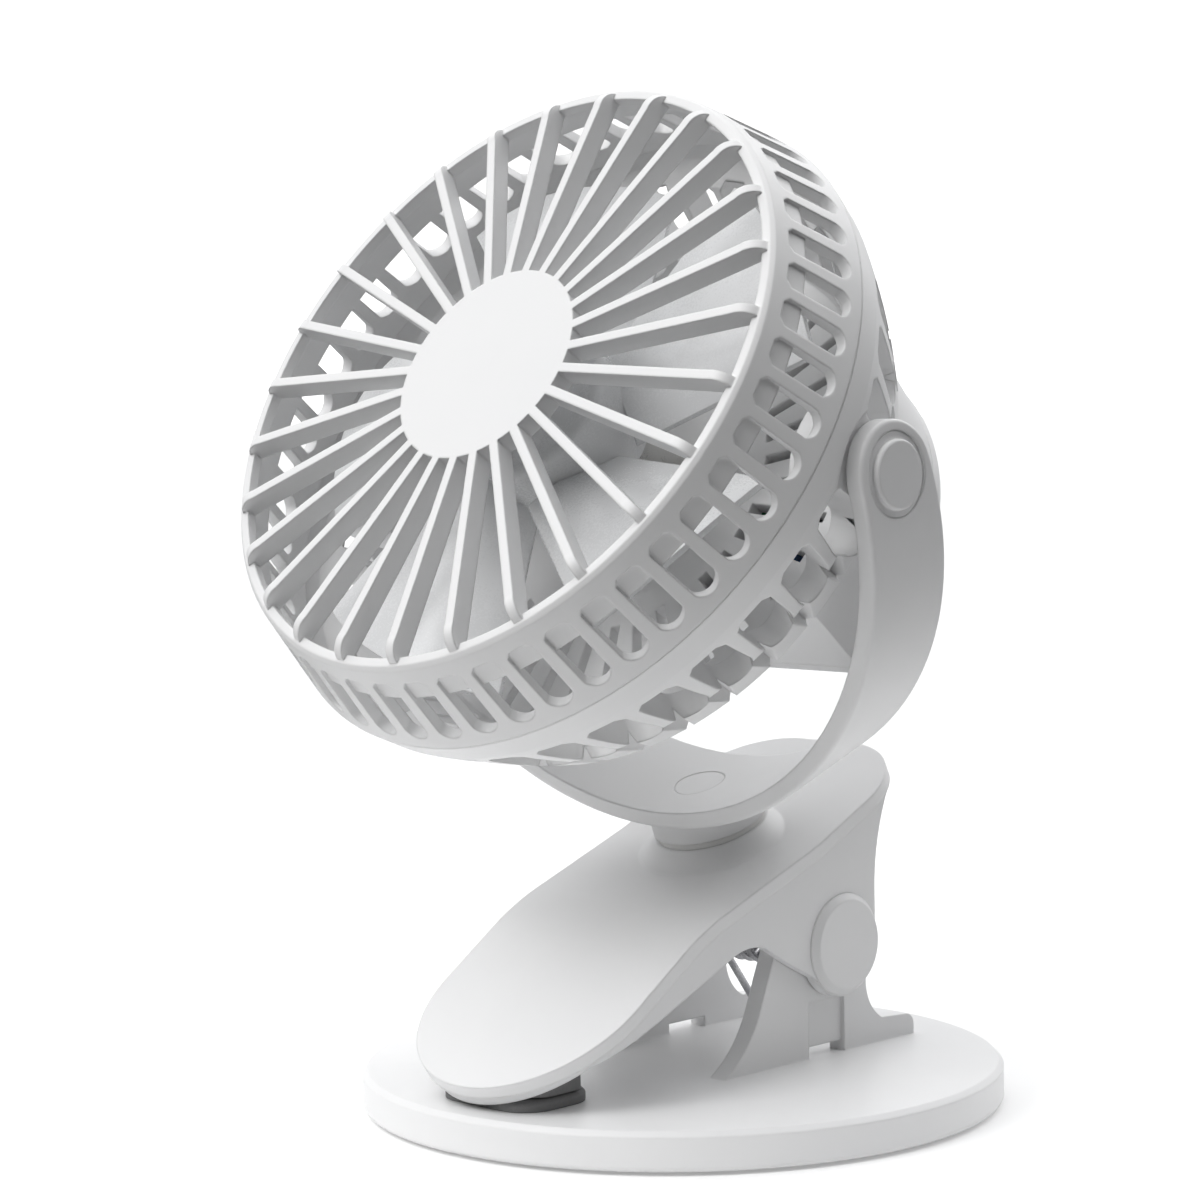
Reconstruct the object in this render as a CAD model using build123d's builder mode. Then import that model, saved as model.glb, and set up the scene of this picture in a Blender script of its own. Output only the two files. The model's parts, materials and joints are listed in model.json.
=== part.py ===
from build123d import *
from math import acos, atan2, cos, degrees, hypot, pi, radians, sin, sqrt, tan
import os

os.makedirs("parts", exist_ok=True)

# Clip fan: a round fan head tilts in a U-shaped yoke, the yoke turns on a spring clip,
# and the clip's lower jaw is a round base that it can also stand on.
# Millimetres. The origin is the middle of the base on the table, +Z up, the nose of
# the clip towards -Y.

# ---------------------------------------------------------------- driving sizes

# base and lower jaw
base_radius = 66.0
base_top = 8.4                 # table to upper face
mat_drop = 0.6                 # rubber mat below the base
base_skin = 2.6
base_rim = 2.4
base_chamfer = 1.1
cover_thickness = 3.2
mat_radius = 57.0
mat_depth = 1.0
base_screw_circle = 38.0

# clip hinge
hinge_y = 23.2
hinge_z = 31.5
pin_radius = 2.5
cap_spigot_radius = 5.0
cap_spigot_depth = 0.9
bracket_half_span = 21.7       # outer faces of the two uprights
bracket_thickness = 4.0
bracket_eye_radius = 9.5
hinge_cap_radius = 10.5
hinge_cap_face_radius = 9.2
hinge_cap_height = 1.6

# upper jaw: a long paddle with side skirts
paddle_half_width = 26.7
paddle_plate = 2.8
knee_y = -21.7                 # where the nose slope meets the seat slope
knee_z = 40.6
nose_slope = 33.3
seat_slope = 20.0
tail_slope = 26.0
nose_length = 49.7             # nose tip to knee, along the slope
seat_length = 37.0
tail_length = 37.7
tail_corner = 20.0
skirt_inset = 2.3
skirt_nose_inset = 0.5         # the skirt's front lies closer to the nose's edge
skirt_wall = 2.2
nose_thickness = 5.0

# swivel: a flared pedestal on the paddle's seat carries the neck of the yoke
swivel_place = 35.0            # from the knee, along the seat
swivel_rise = 9.3              # paddle's seat to the bottom of the U
pedestal_radius = 12.0
pedestal_foot_radius = 21.0
pedestal_height = 3.3
swivel_disc_radius = 11.4
swivel_disc_height = 1.0
swivel_pin_radius = 3.0

# yoke
yoke_radius = 73.1             # outer face of the U, centred on the tilt axis
yoke_thickness = 3.6
yoke_end_radius = 10.3         # half the arm's width at the pivot
yoke_foot_half_width = 13.9    # half the band's width at the bottom
yoke_edge = 0.8

# fan head, in its own frame: radius from the fan axis and depth towards the front
head_tilt = 32.4               # nose-up angle as photographed
seam_radius = 71.2
seam_depth = 18.0
rim_radius = 65.5
rim_depth = 38.8
rim_band = 2.6
cage_wall = 2.2
hub_radius = 21.2
hub_rise = 2.4                 # hub and spokes stand this far in front of the rim
spoke_count = 27
spoke_width = 2.0
spoke_depth = 4.4
slot_count = 50
slot_width = 5.8
slot_start = 2.7               # along the wall from the seam
slot_length = 10.4
recess_length = 4.6            # a shallow recess runs on from each slot towards the rim
recess_depth = 1.0
recess_corner = 1.2
fin_count = 36
fin_width = 2.7
fin_depth = 6.5
band_length = 9.0              # plain band behind the seam
back_depth = -9.0              # front face of the rear ring
back_thickness = 3.6
back_radius = 61.0
housing_front_radius = 56.4
housing_rear_radius = 51.6
housing_depth = 25.0
housing_floor = -22.0          # flat underside, below the fan axis
housing_wall = 2.0
cover_depth = 6.0
cover_round = 4.5
boss_radius = 12.0
boss_root_radius = 15.5
pivot_screw_radius = 2.0
pivot_cap_radius = 8.1
pivot_cap_face_radius = 6.6

# impeller and motor
impeller_radius = 57.5
impeller_hub_radius = 17.0
impeller_front = 27.0
impeller_hub_length = 17.0
blade_count = 5
blade_thickness = 1.5
motor_radius = 12.5
motor_length = 16.0
shaft_radius = 1.5

# fits
running_fit = 0.05
face_gap = 0.3
slide_gap = 0.2


# ---------------------------------------------------------------- frames

x_axis = Vector(1, 0, 0)

seat_normal = Vector(0, -sin(radians(seat_slope)), cos(radians(seat_slope)))
seat_along = Vector(0, cos(radians(seat_slope)), sin(radians(seat_slope)))
seat_point = Vector(0, knee_y, knee_z) + seat_along * swivel_place
head_pivot = seat_point + seat_normal * (yoke_radius + swivel_rise)
pivot_spot = (head_pivot.Y, head_pivot.Z)

fan_front = Vector(0, -cos(radians(head_tilt)), sin(radians(head_tilt)))
fan_up = Vector(0, sin(radians(head_tilt)), cos(radians(head_tilt)))
head_plane = Plane(origin=head_pivot, x_dir=x_axis, z_dir=fan_front)
fan_axis = Axis(head_pivot, fan_front)
swivel_axis = Axis(seat_point, seat_normal)


def radial(angle):
    """Direction away from the fan axis, as an angle from the right-hand side."""
    return x_axis * cos(radians(angle)) + fan_up * sin(radians(angle))


def section_plane(angle):
    """Plane through the fan axis: x is the radius, y is the depth to the front."""
    outward = radial(angle)
    return Plane(origin=head_pivot, x_dir=outward, z_dir=outward.cross(fan_front))


def facing_plane(angle, radius):
    """Plane square to a radius of the fan head: x runs round it, y to the front."""
    outward = radial(angle)
    around = fan_front.cross(outward)
    return Plane(origin=head_pivot + outward * radius, x_dir=around, z_dir=outward)


def seat_level(height):
    """Plane parallel to the paddle's seat, a height above it on the swivel axis."""
    return Plane(origin=seat_point + seat_normal * height, x_dir=x_axis, z_dir=seat_normal)


def side_plane(x):
    """Upright plane seen from the right: x is world Y, y is world Z."""
    return Plane.YZ.offset(x)


def save(sub_part, name):
    sub_part.part.label = name
    export_step(sub_part.part, "parts/" + name + ".step")


# ---------------------------------------------------------------- base group

base_bottom = mat_drop
cavity_top = base_top - base_skin
cavity_radius = base_radius - base_rim
cover_top = base_bottom + cover_thickness
post_radius = 3.4
post_bore = 1.3
pocket_depth = 0.8
pocket_front = 15.0
pocket_back = 26.2
pocket_top = 20.0
pocket_hole_height = 2.2
foot_sink = 1.0                # the uprights reach this far into the base's top

# side outline of an upright, as (y, z): front edge from the toe up, then the back edge down
bracket_toe = -11.0
bracket_flare = (-4.6, 13.4)
bracket_waist = (-0.3, 19.8)
bracket_shoulder = (5.6, 33.6)
bracket_brow = (12.5, 40.2)
bracket_back = (33.4, 22.5)
bracket_back_flare = (34.9, 16.8)
tongue_root = (38.6, 13.4)
tongue_end_y = 49.0
tongue_round = 2.6

with BuildPart() as base_plate:
    with BuildSketch(Plane.XY.offset(base_bottom)):
        Circle(base_radius)
    extrude(amount=base_top - base_bottom)
    chamfer(base_plate.edges().group_by(Axis.Z)[-1], base_chamfer)
    fillet(base_plate.edges().group_by(Axis.Z)[0], base_chamfer)
    with BuildSketch(Plane.XY.offset(base_bottom)):
        Circle(cavity_radius)
    extrude(amount=cavity_top - base_bottom, mode=Mode.SUBTRACT)
    with BuildSketch(Plane.XY.offset(cover_top)):
        with PolarLocations(base_screw_circle, 4, 45):
            Circle(post_radius)
    extrude(amount=cavity_top - cover_top + foot_sink)
    for side in (-1, 1):
        with BuildSketch(side_plane(side * (bracket_half_span - bracket_thickness / 2))):
            with BuildLine():
                foot_front = Line((bracket_toe - 0.5, base_top - foot_sink), (bracket_toe, base_top))
                flare = ThreePointArc(foot_front @ 1, bracket_flare, bracket_waist)
                front_edge = Line(flare @ 1, bracket_shoulder)
                eye_top = (hinge_y, hinge_z + bracket_eye_radius)
                shoulder = ThreePointArc(front_edge @ 1, bracket_brow, eye_top)
                crown = ThreePointArc(
                    shoulder @ 1,
                    (hinge_y + bracket_eye_radius * sin(pi / 4), hinge_z + bracket_eye_radius * cos(pi / 4)),
                    (hinge_y + bracket_eye_radius, hinge_z),
                )
                back_edge = Line(crown @ 1, bracket_back)
                back_flare = ThreePointArc(back_edge @ 1, bracket_back_flare, tongue_root)
                tongue_top = Line(back_flare @ 1, (tongue_end_y - tongue_round, tongue_root[1] - 0.5))
                tongue_end = ThreePointArc(
                    tongue_top @ 1,
                    (tongue_end_y - tongue_round / 5, tongue_root[1] - tongue_round / 2 - 0.2),
                    (tongue_end_y, base_top + tongue_round - 1),
                )
                Polyline(tongue_end @ 1, (tongue_end_y, base_top - foot_sink), foot_front @ 0)
            make_face()
        extrude(amount=bracket_thickness / 2, both=True)
    for side in (-1, 1):
        with BuildSketch(side_plane(side * bracket_half_span)):
            with Locations(((pocket_front + pocket_back) / 2, (base_top + pocket_top) / 2)):
                Rectangle(pocket_back - pocket_front, pocket_top - base_top)
        extrude(amount=-side * pocket_depth, mode=Mode.SUBTRACT)
        with BuildSketch(side_plane(side * bracket_half_span)):
            with Locations(((pocket_front + pocket_back) / 2, base_top + pocket_hole_height / 2)):
                Rectangle(pocket_back - pocket_front, pocket_hole_height)
        extrude(amount=-side * (bracket_thickness + 1), mode=Mode.SUBTRACT)
    with BuildSketch(side_plane(0)):
        with Locations((hinge_y, hinge_z)):
            Circle(pin_radius + running_fit)
    extrude(amount=bracket_half_span + 1, both=True, mode=Mode.SUBTRACT)
    with BuildSketch(Plane.XY.offset(cover_top)):
        with PolarLocations(base_screw_circle, 4, 45):
            Circle(post_bore)
    extrude(amount=cavity_top - cover_top + foot_sink, mode=Mode.SUBTRACT)
save(base_plate, "base_plate")

screw_head_radius = 2.6
screw_head_height = 1.5
screw_head_floor = base_bottom + mat_depth
base_screw_length = 5.0
cover_fit = 0.15

with BuildPart() as base_cover:
    with BuildSketch(Plane.XY.offset(base_bottom)):
        Circle(cavity_radius - cover_fit)
    extrude(amount=cover_thickness)
    with BuildSketch(Plane.XY.offset(base_bottom)):
        Circle(mat_radius + cover_fit)
    extrude(amount=mat_depth, mode=Mode.SUBTRACT)
    with BuildSketch(Plane.XY.offset(screw_head_floor)):
        with PolarLocations(base_screw_circle, 4, 45):
            Circle(screw_head_radius + cover_fit)
    extrude(amount=screw_head_height, mode=Mode.SUBTRACT)
    with BuildSketch(Plane.XY.offset(base_bottom)):
        with PolarLocations(base_screw_circle, 4, 45):
            Circle(post_bore + cover_fit)
    extrude(amount=cover_thickness, mode=Mode.SUBTRACT)
save(base_cover, "base_cover")

with BuildPart() as base_mat:
    with BuildSketch():
        Circle(mat_radius)
    extrude(amount=mat_drop + mat_depth)
save(base_mat, "base_mat")

with BuildPart() as base_screws:
    with BuildSketch(Plane.XY.offset(screw_head_floor)):
        with PolarLocations(base_screw_circle, 4, 45):
            Circle(screw_head_radius)
    extrude(amount=screw_head_height)
    with BuildSketch(Plane.XY.offset(screw_head_floor)):
        with PolarLocations(base_screw_circle, 4, 45):
            Circle(post_bore)
    extrude(amount=base_screw_length)
save(base_screws, "base_screws")

pad_y = -48.0
pad_half_length = 13.6
pad_half_width = 10.0
pad_corner = 7.0
pad_height = 2.4
pad_edge = 0.8

with BuildPart() as lower_jaw_pad:
    with BuildSketch(Plane.XY.offset(base_top)):
        with Locations((0, pad_y)):
            RectangleRounded(pad_half_length * 2, pad_half_width * 2, pad_corner)
    extrude(amount=pad_height)
    chamfer(lower_jaw_pad.edges().group_by(Axis.Z)[-1], pad_edge)
save(lower_jaw_pad, "lower_jaw_pad")

skirt_outer = paddle_half_width - skirt_inset
skirt_inner = skirt_outer - skirt_wall

with BuildPart() as hinge_pin:
    with BuildSketch(side_plane(0)):
        with Locations((hinge_y, hinge_z)):
            Circle(pin_radius)
    extrude(amount=skirt_outer - cap_spigot_depth - face_gap, both=True)
    chamfer(hinge_pin.edges().filter_by(GeomType.CIRCLE), 0.4)
save(hinge_pin, "hinge_pin")


# ---------------------------------------------------------------- torsion spring

spring_wire = 1.6
spring_radius = 5.6            # middle of the wire
spring_turns = 4
spring_pitch = 2.6
base_leg_slope = 50.0          # the fixed leg runs down and back to the base
jaw_leg_slope = 60.0           # the moving leg runs up and back to the jaw's tail
jaw_leg_length = 26.6
leg_turns = 0.5                # the moving leg starts with half a turn beside the coil

coil_start = -90 - base_leg_slope
leg_start = 90 + jaw_leg_slope
coil_left = -spring_turns * spring_pitch / 2
leg_phase = (leg_start + 360 * leg_turns - coil_start) % 360 / 360
leg_left = -coil_left - spring_pitch * leg_phase + spring_wire + face_gap


def coil_point(left, first_angle, turn):
    """Middle of the wire a number of turns along a coil round the hinge axis."""
    angle = radians(first_angle - 360 * turn)
    return Vector(
        left + spring_pitch * turn,
        hinge_y + spring_radius * cos(angle),
        hinge_z + spring_radius * sin(angle),
    )


def coil_heading(first_angle, turn):
    """Direction of the wire at that point."""
    angle = radians(first_angle - 360 * turn)
    round_speed = 2 * pi * spring_radius
    return Vector(spring_pitch, round_speed * sin(angle), -round_speed * cos(angle)).normalized()


def biarc(start, heading, end, end_heading):
    """Two arcs that leave and arrive along the headings and meet smoothly."""
    span = end - start
    both = heading + end_heading
    bend = 2 * (heading.dot(end_heading) - 1)
    reach = (span.dot(both) - sqrt(span.dot(both) ** 2 - bend * span.dot(span))) / bend
    first_corner = start + heading * reach
    last_corner = end - end_heading * reach
    meeting = (first_corner + last_corner) * 0.5
    TangentArc(start, meeting, tangent=heading)
    TangentArc(meeting, end, tangent=last_corner - first_corner)


def wind(left, first_angle, turns):
    """Coil of a number of turns, made of a biarc for each half turn."""
    for half_turn in range(round(turns * 2)):
        begin = half_turn / 2
        close = begin + 0.5
        biarc(
            coil_point(left, first_angle, begin),
            coil_heading(first_angle, begin),
            coil_point(left, first_angle, close),
            coil_heading(first_angle, close),
        )


coil_entry = coil_point(coil_left, coil_start, 0)
entry_heading = coil_heading(coil_start, 0)
leg_drop = coil_entry.Z - base_top - spring_wire / 2
leg_foot = coil_entry - entry_heading * (leg_drop / entry_heading.Z)

with BuildPart() as torsion_spring:
    with BuildLine() as spring_path:
        Line(leg_foot, coil_entry)
        wind(coil_left, coil_start, spring_turns)
    with BuildSketch(Plane(origin=leg_foot, z_dir=entry_heading)):
        Circle(spring_wire / 2)
    sweep(path=spring_path.wire())
save(torsion_spring, "torsion_spring")

leg_exit = coil_point(leg_left, leg_start + 360 * leg_turns, leg_turns)
exit_heading = coil_heading(leg_start + 360 * leg_turns, leg_turns)

with BuildPart() as spring_leg:
    with BuildLine() as leg_path:
        wind(leg_left, leg_start + 360 * leg_turns, leg_turns)
        Line(leg_exit, leg_exit + exit_heading * jaw_leg_length)
    with BuildSketch(Plane(origin=leg_path.wire() @ 0, z_dir=leg_path.wire() % 0)):
        Circle(spring_wire / 2)
    sweep(path=leg_path.wire())
save(spring_leg, "spring_leg")

# The least gap of the coil to itself, measured on points half a turn or more apart.
path_points = [spring_path.wire() @ (step / 600) for step in range(601)]
point_spacing = spring_path.wire().length / 600
half_turn_points = int(pi * spring_radius / point_spacing)
least_spacing = min(
    (path_points[i] - path_points[j]).length
    for i in range(0, 601)
    for j in range(i + half_turn_points, 601)
)
print("spring: least gap to itself", round(least_spacing - spring_wire, 3))


# ---------------------------------------------------------------- upper jaw

def slope_point(start, slope, run):
    """Point a run along a slope in the side view."""
    return (start[0] + run * cos(radians(slope)), start[1] + run * sin(radians(slope)))


knee_point = (knee_y, knee_z)
nose_point = slope_point(knee_point, nose_slope, -nose_length)
tail_knee = slope_point(knee_point, seat_slope, seat_length)
tail_point = slope_point(tail_knee, tail_slope, tail_length)
knee_radius = 60.0
boss_wrap = hinge_cap_radius + 0.4
swivel_boss_depth = 5.0
pedestal_sink = 0.4
hollow_reach = 150.0           # longer than the jaw

# side outline of the skirts, as (y, z): down the rear edge, under the hinge, over the arch
rear_top = (39.5, 64.8)
rear_waist = (35.0, 53.7)
rear_heel = 33.4
rear_heel_top = 41.5
heel_round = (33.1, 29.0)
heel_end = (32.2, 26.6)
wrap_end = 58.0                # angle forward of straight down where the boss leaves the hinge
arch_back = (5.0, 30.4)
arch_rise_end = (-1.0, 34.0)
arch_top = (-5.2, 34.6)
arch_front = (-9.5, 33.9)
under_front = (-31.6, 24.3)
under_bend = (-40.3, 20.8)
skirt_toe = (-48.5, 17.4)

nose_plane = Plane(
    origin=(0, nose_point[0], nose_point[1]),
    x_dir=x_axis,
    z_dir=(0, -sin(radians(nose_slope)), cos(radians(nose_slope))),
)
tail_plane = Plane(
    origin=(0, tail_point[0], tail_point[1]),
    x_dir=x_axis,
    z_dir=(0, -sin(radians(tail_slope)), cos(radians(tail_slope))),
)


def under(point, slope, depth):
    """Point a depth below the paddle's upper face."""
    return (point[0] + depth * sin(radians(slope)), point[1] - depth * cos(radians(slope)))


with BuildPart() as clip_arm:
    with BuildSketch(side_plane(0)):
        with BuildLine():
            crest = FilletPolyline(
                under(nose_point, nose_slope, 1),
                under(knee_point, nose_slope, 1),
                under(tail_knee, seat_slope, 1),
                under(tail_point, tail_slope, 1),
                radius=knee_radius,
            )
            rear = Line(crest @ 1, rear_top)
            rear_curve = ThreePointArc(rear @ 1, rear_waist, (rear_heel, rear_heel_top))
            rear_edge = Line(rear_curve @ 1, (rear_heel, hinge_z))
            rear_wrap = ThreePointArc(rear_edge @ 1, heel_round, heel_end)
            boss_round = ThreePointArc(
                rear_wrap @ 1,
                (hinge_y, hinge_z - boss_wrap),
                (hinge_y - boss_wrap * sin(radians(wrap_end)), hinge_z - boss_wrap * cos(radians(wrap_end))),
            )
            arch_rise = ThreePointArc(boss_round @ 1, arch_back, arch_rise_end)
            arch_crown = ThreePointArc(arch_rise @ 1, arch_top, arch_front)
            under_edge = Line(arch_crown @ 1, under_front)
            toe_curve = ThreePointArc(under_edge @ 1, under_bend, skirt_toe)
            toe_line = Line(toe_curve @ 1, under(nose_point, nose_slope, nose_thickness))
            Line(toe_line @ 1, crest @ 0)
        make_face()
    extrude(amount=skirt_outer, both=True)
    with BuildSketch(nose_plane):
        with Locations((0, paddle_half_width)):
            Ellipse(skirt_outer, paddle_half_width - skirt_nose_inset)
            Ellipse(skirt_inner, paddle_half_width - skirt_nose_inset - skirt_wall, mode=Mode.SUBTRACT)
        with Locations((0, 1.5 * paddle_half_width)):
            Rectangle(2 * skirt_outer, paddle_half_width, mode=Mode.SUBTRACT)
        for side in (-1, 1):
            with Locations((side * (skirt_outer + skirt_inner) / 2, paddle_half_width + hollow_reach / 2)):
                Rectangle(skirt_wall, hollow_reach)
    extrude(amount=100, both=True, mode=Mode.INTERSECT)
    with BuildSketch(side_plane(0)):
        with BuildLine():
            upper = FilletPolyline(nose_point, knee_point, tail_knee, tail_point, radius=knee_radius)
            Line(upper @ 1, under(tail_point, tail_slope, paddle_plate))
            lower = FilletPolyline(
                under(tail_point, tail_slope, paddle_plate),
                under(tail_knee, seat_slope, paddle_plate),
                under(knee_point, nose_slope, paddle_plate),
                under(nose_point, nose_slope, paddle_plate),
                radius=knee_radius,
            )
            Line(lower @ 1, upper @ 0)
        make_face()
    extrude(amount=paddle_half_width, both=True)
    with BuildSketch(nose_plane):
        with Locations((0, paddle_half_width / 2 - 2)):
            Rectangle(2 * paddle_half_width + 2, paddle_half_width + 4)
        with Locations((0, paddle_half_width)):
            Circle(paddle_half_width, mode=Mode.SUBTRACT)
    extrude(amount=10, both=True, mode=Mode.SUBTRACT)
    with BuildSketch(tail_plane):
        with Locations((0, -tail_corner / 2 + 1)):
            Rectangle(2 * paddle_half_width + 2, tail_corner + 2)
        with Locations((0, -tail_corner / 2)):
            Rectangle(2 * (paddle_half_width - tail_corner), tail_corner, mode=Mode.SUBTRACT)
        for side in (-1, 1):
            with Locations((side * (paddle_half_width - tail_corner), -tail_corner)):
                Circle(tail_corner, mode=Mode.SUBTRACT)
    extrude(amount=12, both=True, mode=Mode.SUBTRACT)
    with BuildSketch(Plane(origin=seat_point, x_dir=x_axis, z_dir=-seat_along)):
        with BuildLine():
            flank = ThreePointArc(
                (pedestal_foot_radius, -pedestal_sink),
                (pedestal_radius + (pedestal_foot_radius - pedestal_radius) * 0.3, pedestal_height * 0.27),
                (pedestal_radius, pedestal_height),
            )
            Polyline(
                flank @ 1,
                (0, pedestal_height),
                (0, -swivel_boss_depth),
                (pedestal_radius, -swivel_boss_depth),
                (pedestal_foot_radius, -pedestal_sink),
            )
        make_face()
    revolve(axis=swivel_axis)
    with BuildSketch(seat_level(pedestal_height + 1)):
        Circle(swivel_pin_radius + running_fit)
    extrude(amount=-swivel_boss_depth - pedestal_height - 2, mode=Mode.SUBTRACT)
    with BuildSketch(side_plane(0)):
        with Locations((hinge_y, hinge_z)):
            Circle(pin_radius + running_fit)
    extrude(amount=skirt_outer + 1, both=True, mode=Mode.SUBTRACT)
    for side in (-1, 1):
        with BuildSketch(side_plane(side * skirt_outer)):
            with Locations((hinge_y, hinge_z)):
                Circle(cap_spigot_radius + running_fit)
        extrude(amount=-side * cap_spigot_depth, mode=Mode.SUBTRACT)
save(clip_arm, "clip_arm")

for side, name in ((-1, "hinge_cap_left"), (1, "hinge_cap_right")):
    with BuildPart() as hinge_cap:
        with BuildSketch(side_plane(side * skirt_outer)):
            with Locations((hinge_y, hinge_z)):
                Circle(hinge_cap_radius)
        extrude(amount=side * hinge_cap_height)
        outer_edges = hinge_cap.edges().filter_by(GeomType.CIRCLE).sort_by(Axis.X)
        chamfer(outer_edges[-1] if side > 0 else outer_edges[0], hinge_cap_radius - hinge_cap_face_radius)
        with BuildSketch(side_plane(side * skirt_outer)):
            with Locations((hinge_y, hinge_z)):
                Circle(cap_spigot_radius)
        extrude(amount=-side * (cap_spigot_depth - running_fit))
    save(hinge_cap, name)

jaw_pad_floor = base_top + pad_height + face_gap
jaw_pad_back = pad_y + pad_half_width / 2


def nose_underside(y):
    """Height of the paddle's lower face above the base, in the nose."""
    below = under(nose_point, nose_slope, paddle_plate)
    return below[1] + (y - below[0]) * tan(radians(nose_slope))


with BuildPart() as upper_jaw_pad:
    with BuildSketch(Plane.XY.offset(jaw_pad_floor)):
        with Locations((0, pad_y)):
            RectangleRounded(pad_half_length * 2, pad_half_width * 2, pad_corner)
    extrude(amount=nose_underside(pad_y + pad_half_width) - jaw_pad_floor)
    with BuildSketch(side_plane(0)):
        Polygon(
            (pad_y - pad_half_width, jaw_pad_floor),
            (jaw_pad_back, jaw_pad_floor),
            (jaw_pad_back, nose_underside(jaw_pad_back)),
            (pad_y - pad_half_width, nose_underside(pad_y - pad_half_width)),
            align=None,
        )
    extrude(amount=pad_half_length + 1, both=True, mode=Mode.INTERSECT)
    with BuildSketch(nose_plane):
        with Locations((0, paddle_half_width)):
            nose_hollow = paddle_half_width - skirt_nose_inset - skirt_wall
            Ellipse(skirt_inner - running_fit, nose_hollow - running_fit)
    extrude(amount=hollow_reach, both=True, mode=Mode.INTERSECT)
save(upper_jaw_pad, "upper_jaw_pad")


# ---------------------------------------------------------------- swivel

washer_thickness = 0.8
nut_thickness = 3.2
nut_radius = 4.6
screw_seat = 10.4              # height of the screw head's seat in the yoke's foot
screw_head_depth = 1.8
swivel_head_radius = 5.2

neck_bottom = pedestal_height + swivel_disc_height + face_gap

with BuildPart() as swivel_disc:
    with BuildSketch(seat_level(pedestal_height)):
        Circle(swivel_disc_radius)
        Circle(swivel_pin_radius + running_fit, mode=Mode.SUBTRACT)
    extrude(amount=swivel_disc_height)
save(swivel_disc, "swivel_disc")

washer_top = -swivel_boss_depth - face_gap
nut_top = washer_top - washer_thickness

with BuildPart() as swivel_washer:
    with BuildSketch(seat_level(washer_top)):
        Circle(nut_radius + 1.6)
        Circle(swivel_pin_radius, mode=Mode.SUBTRACT)
    extrude(amount=-washer_thickness)
save(swivel_washer, "swivel_washer")

with BuildPart() as swivel_nut:
    with BuildSketch(seat_level(nut_top)):
        RegularPolygon(nut_radius, 6)
        Circle(swivel_pin_radius, mode=Mode.SUBTRACT)
    extrude(amount=-nut_thickness)
save(swivel_nut, "swivel_nut")

with BuildPart() as swivel_screw:
    with BuildSketch(seat_level(screw_seat)):
        Circle(swivel_head_radius)
    extrude(amount=screw_head_depth)
    with BuildSketch(seat_level(screw_seat)):
        Circle(swivel_pin_radius)
    extrude(amount=nut_top - nut_thickness - 0.8 - screw_seat)
save(swivel_screw, "swivel_screw")


# ---------------------------------------------------------------- yoke

yoke_plane = Plane(origin=head_pivot, x_dir=x_axis, z_dir=-seat_along)
yoke_side = Plane(origin=head_pivot, x_dir=seat_along, z_dir=x_axis)
yoke_inner = yoke_radius - yoke_thickness
cap_seat = yoke_radius - 1.4   # floor of the pocket that the pivot cap sits in
screw_floor = yoke_radius - 2.4    # floor of the smaller pocket for the washer and screw
bush_radius = 3.4
head_screw_radius = 4.2

# the sides of the band leave the round ends at a tangent
foot_reach = hypot(yoke_foot_half_width, yoke_radius)
side_angle = acos(yoke_end_radius / foot_reach) - atan2(yoke_radius, yoke_foot_half_width)
side_x = yoke_end_radius * cos(side_angle)
side_y = yoke_end_radius * sin(side_angle)

with BuildPart() as yoke:
    with BuildSketch(yoke_plane):
        Circle(yoke_radius)
        Circle(yoke_inner, mode=Mode.SUBTRACT)
        with Locations((0, yoke_end_radius + 2 + yoke_radius / 2)):
            Rectangle(3 * yoke_radius, yoke_radius, mode=Mode.SUBTRACT)
    extrude(amount=yoke_foot_half_width + 1, both=True)
    with BuildSketch(yoke_side):
        with BuildLine():
            end_round = ThreePointArc((-side_x, side_y), (0, yoke_end_radius), (side_x, side_y))
            Polyline(
                end_round @ 1,
                (yoke_foot_half_width, -yoke_radius),
                (yoke_foot_half_width, -yoke_radius - 1),
                (-yoke_foot_half_width, -yoke_radius - 1),
                (-yoke_foot_half_width, -yoke_radius),
                end_round @ 0,
            )
        make_face()
    extrude(amount=yoke_radius + 2, both=True, mode=Mode.INTERSECT)
    rim_edges = yoke.edges().filter_by(lambda edge: (edge @ 0 - head_pivot).length > yoke_radius - 0.1)
    fillet(rim_edges.filter_by(lambda edge: edge.length > 2 * yoke_thickness), yoke_edge)
    with BuildSketch(seat_level(neck_bottom)):
        Circle(pedestal_radius)
    extrude(amount=swivel_rise + yoke_thickness / 2 - neck_bottom)
    with BuildSketch(seat_level(screw_seat)):
        Circle(swivel_head_radius + slide_gap)
    extrude(amount=8, mode=Mode.SUBTRACT)
    with BuildSketch(seat_level(0)):
        Circle(swivel_pin_radius)
    extrude(amount=screw_seat + 1, mode=Mode.SUBTRACT)
    for side in (-1, 1):
        for floor, radius in (
            (cap_seat, pivot_cap_radius + running_fit),
            (screw_floor, head_screw_radius + slide_gap),
            (yoke_inner - 2, bush_radius),
        ):
            with BuildSketch(side_plane(side * floor)):
                with Locations(pivot_spot):
                    Circle(radius)
            extrude(amount=side * 8, mode=Mode.SUBTRACT)
save(yoke, "yoke")


tilt_washer = 0.4
screw_head_seat = screw_floor + tilt_washer + running_fit
boss_screw_end = yoke_radius - 12.6

# turned pieces on the tilt axis, one on each side, in steps of (radius, bore, from x, to x)
bush_steps = ((bush_radius, pivot_screw_radius + running_fit, yoke_inner - 0.1, screw_floor),)
washer_steps = ((head_screw_radius, pivot_screw_radius + slide_gap, screw_floor, screw_floor + tilt_washer),)
screw_steps = (
    (pivot_screw_radius, 0, boss_screw_end, screw_head_seat + 0.5),
    (head_screw_radius - 0.4, 0, screw_head_seat, screw_head_seat + 1.3),
)
turned_pieces = (("pivot_bushes", bush_steps), ("pivot_washers", washer_steps), ("pivot_screws", screw_steps))

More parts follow.
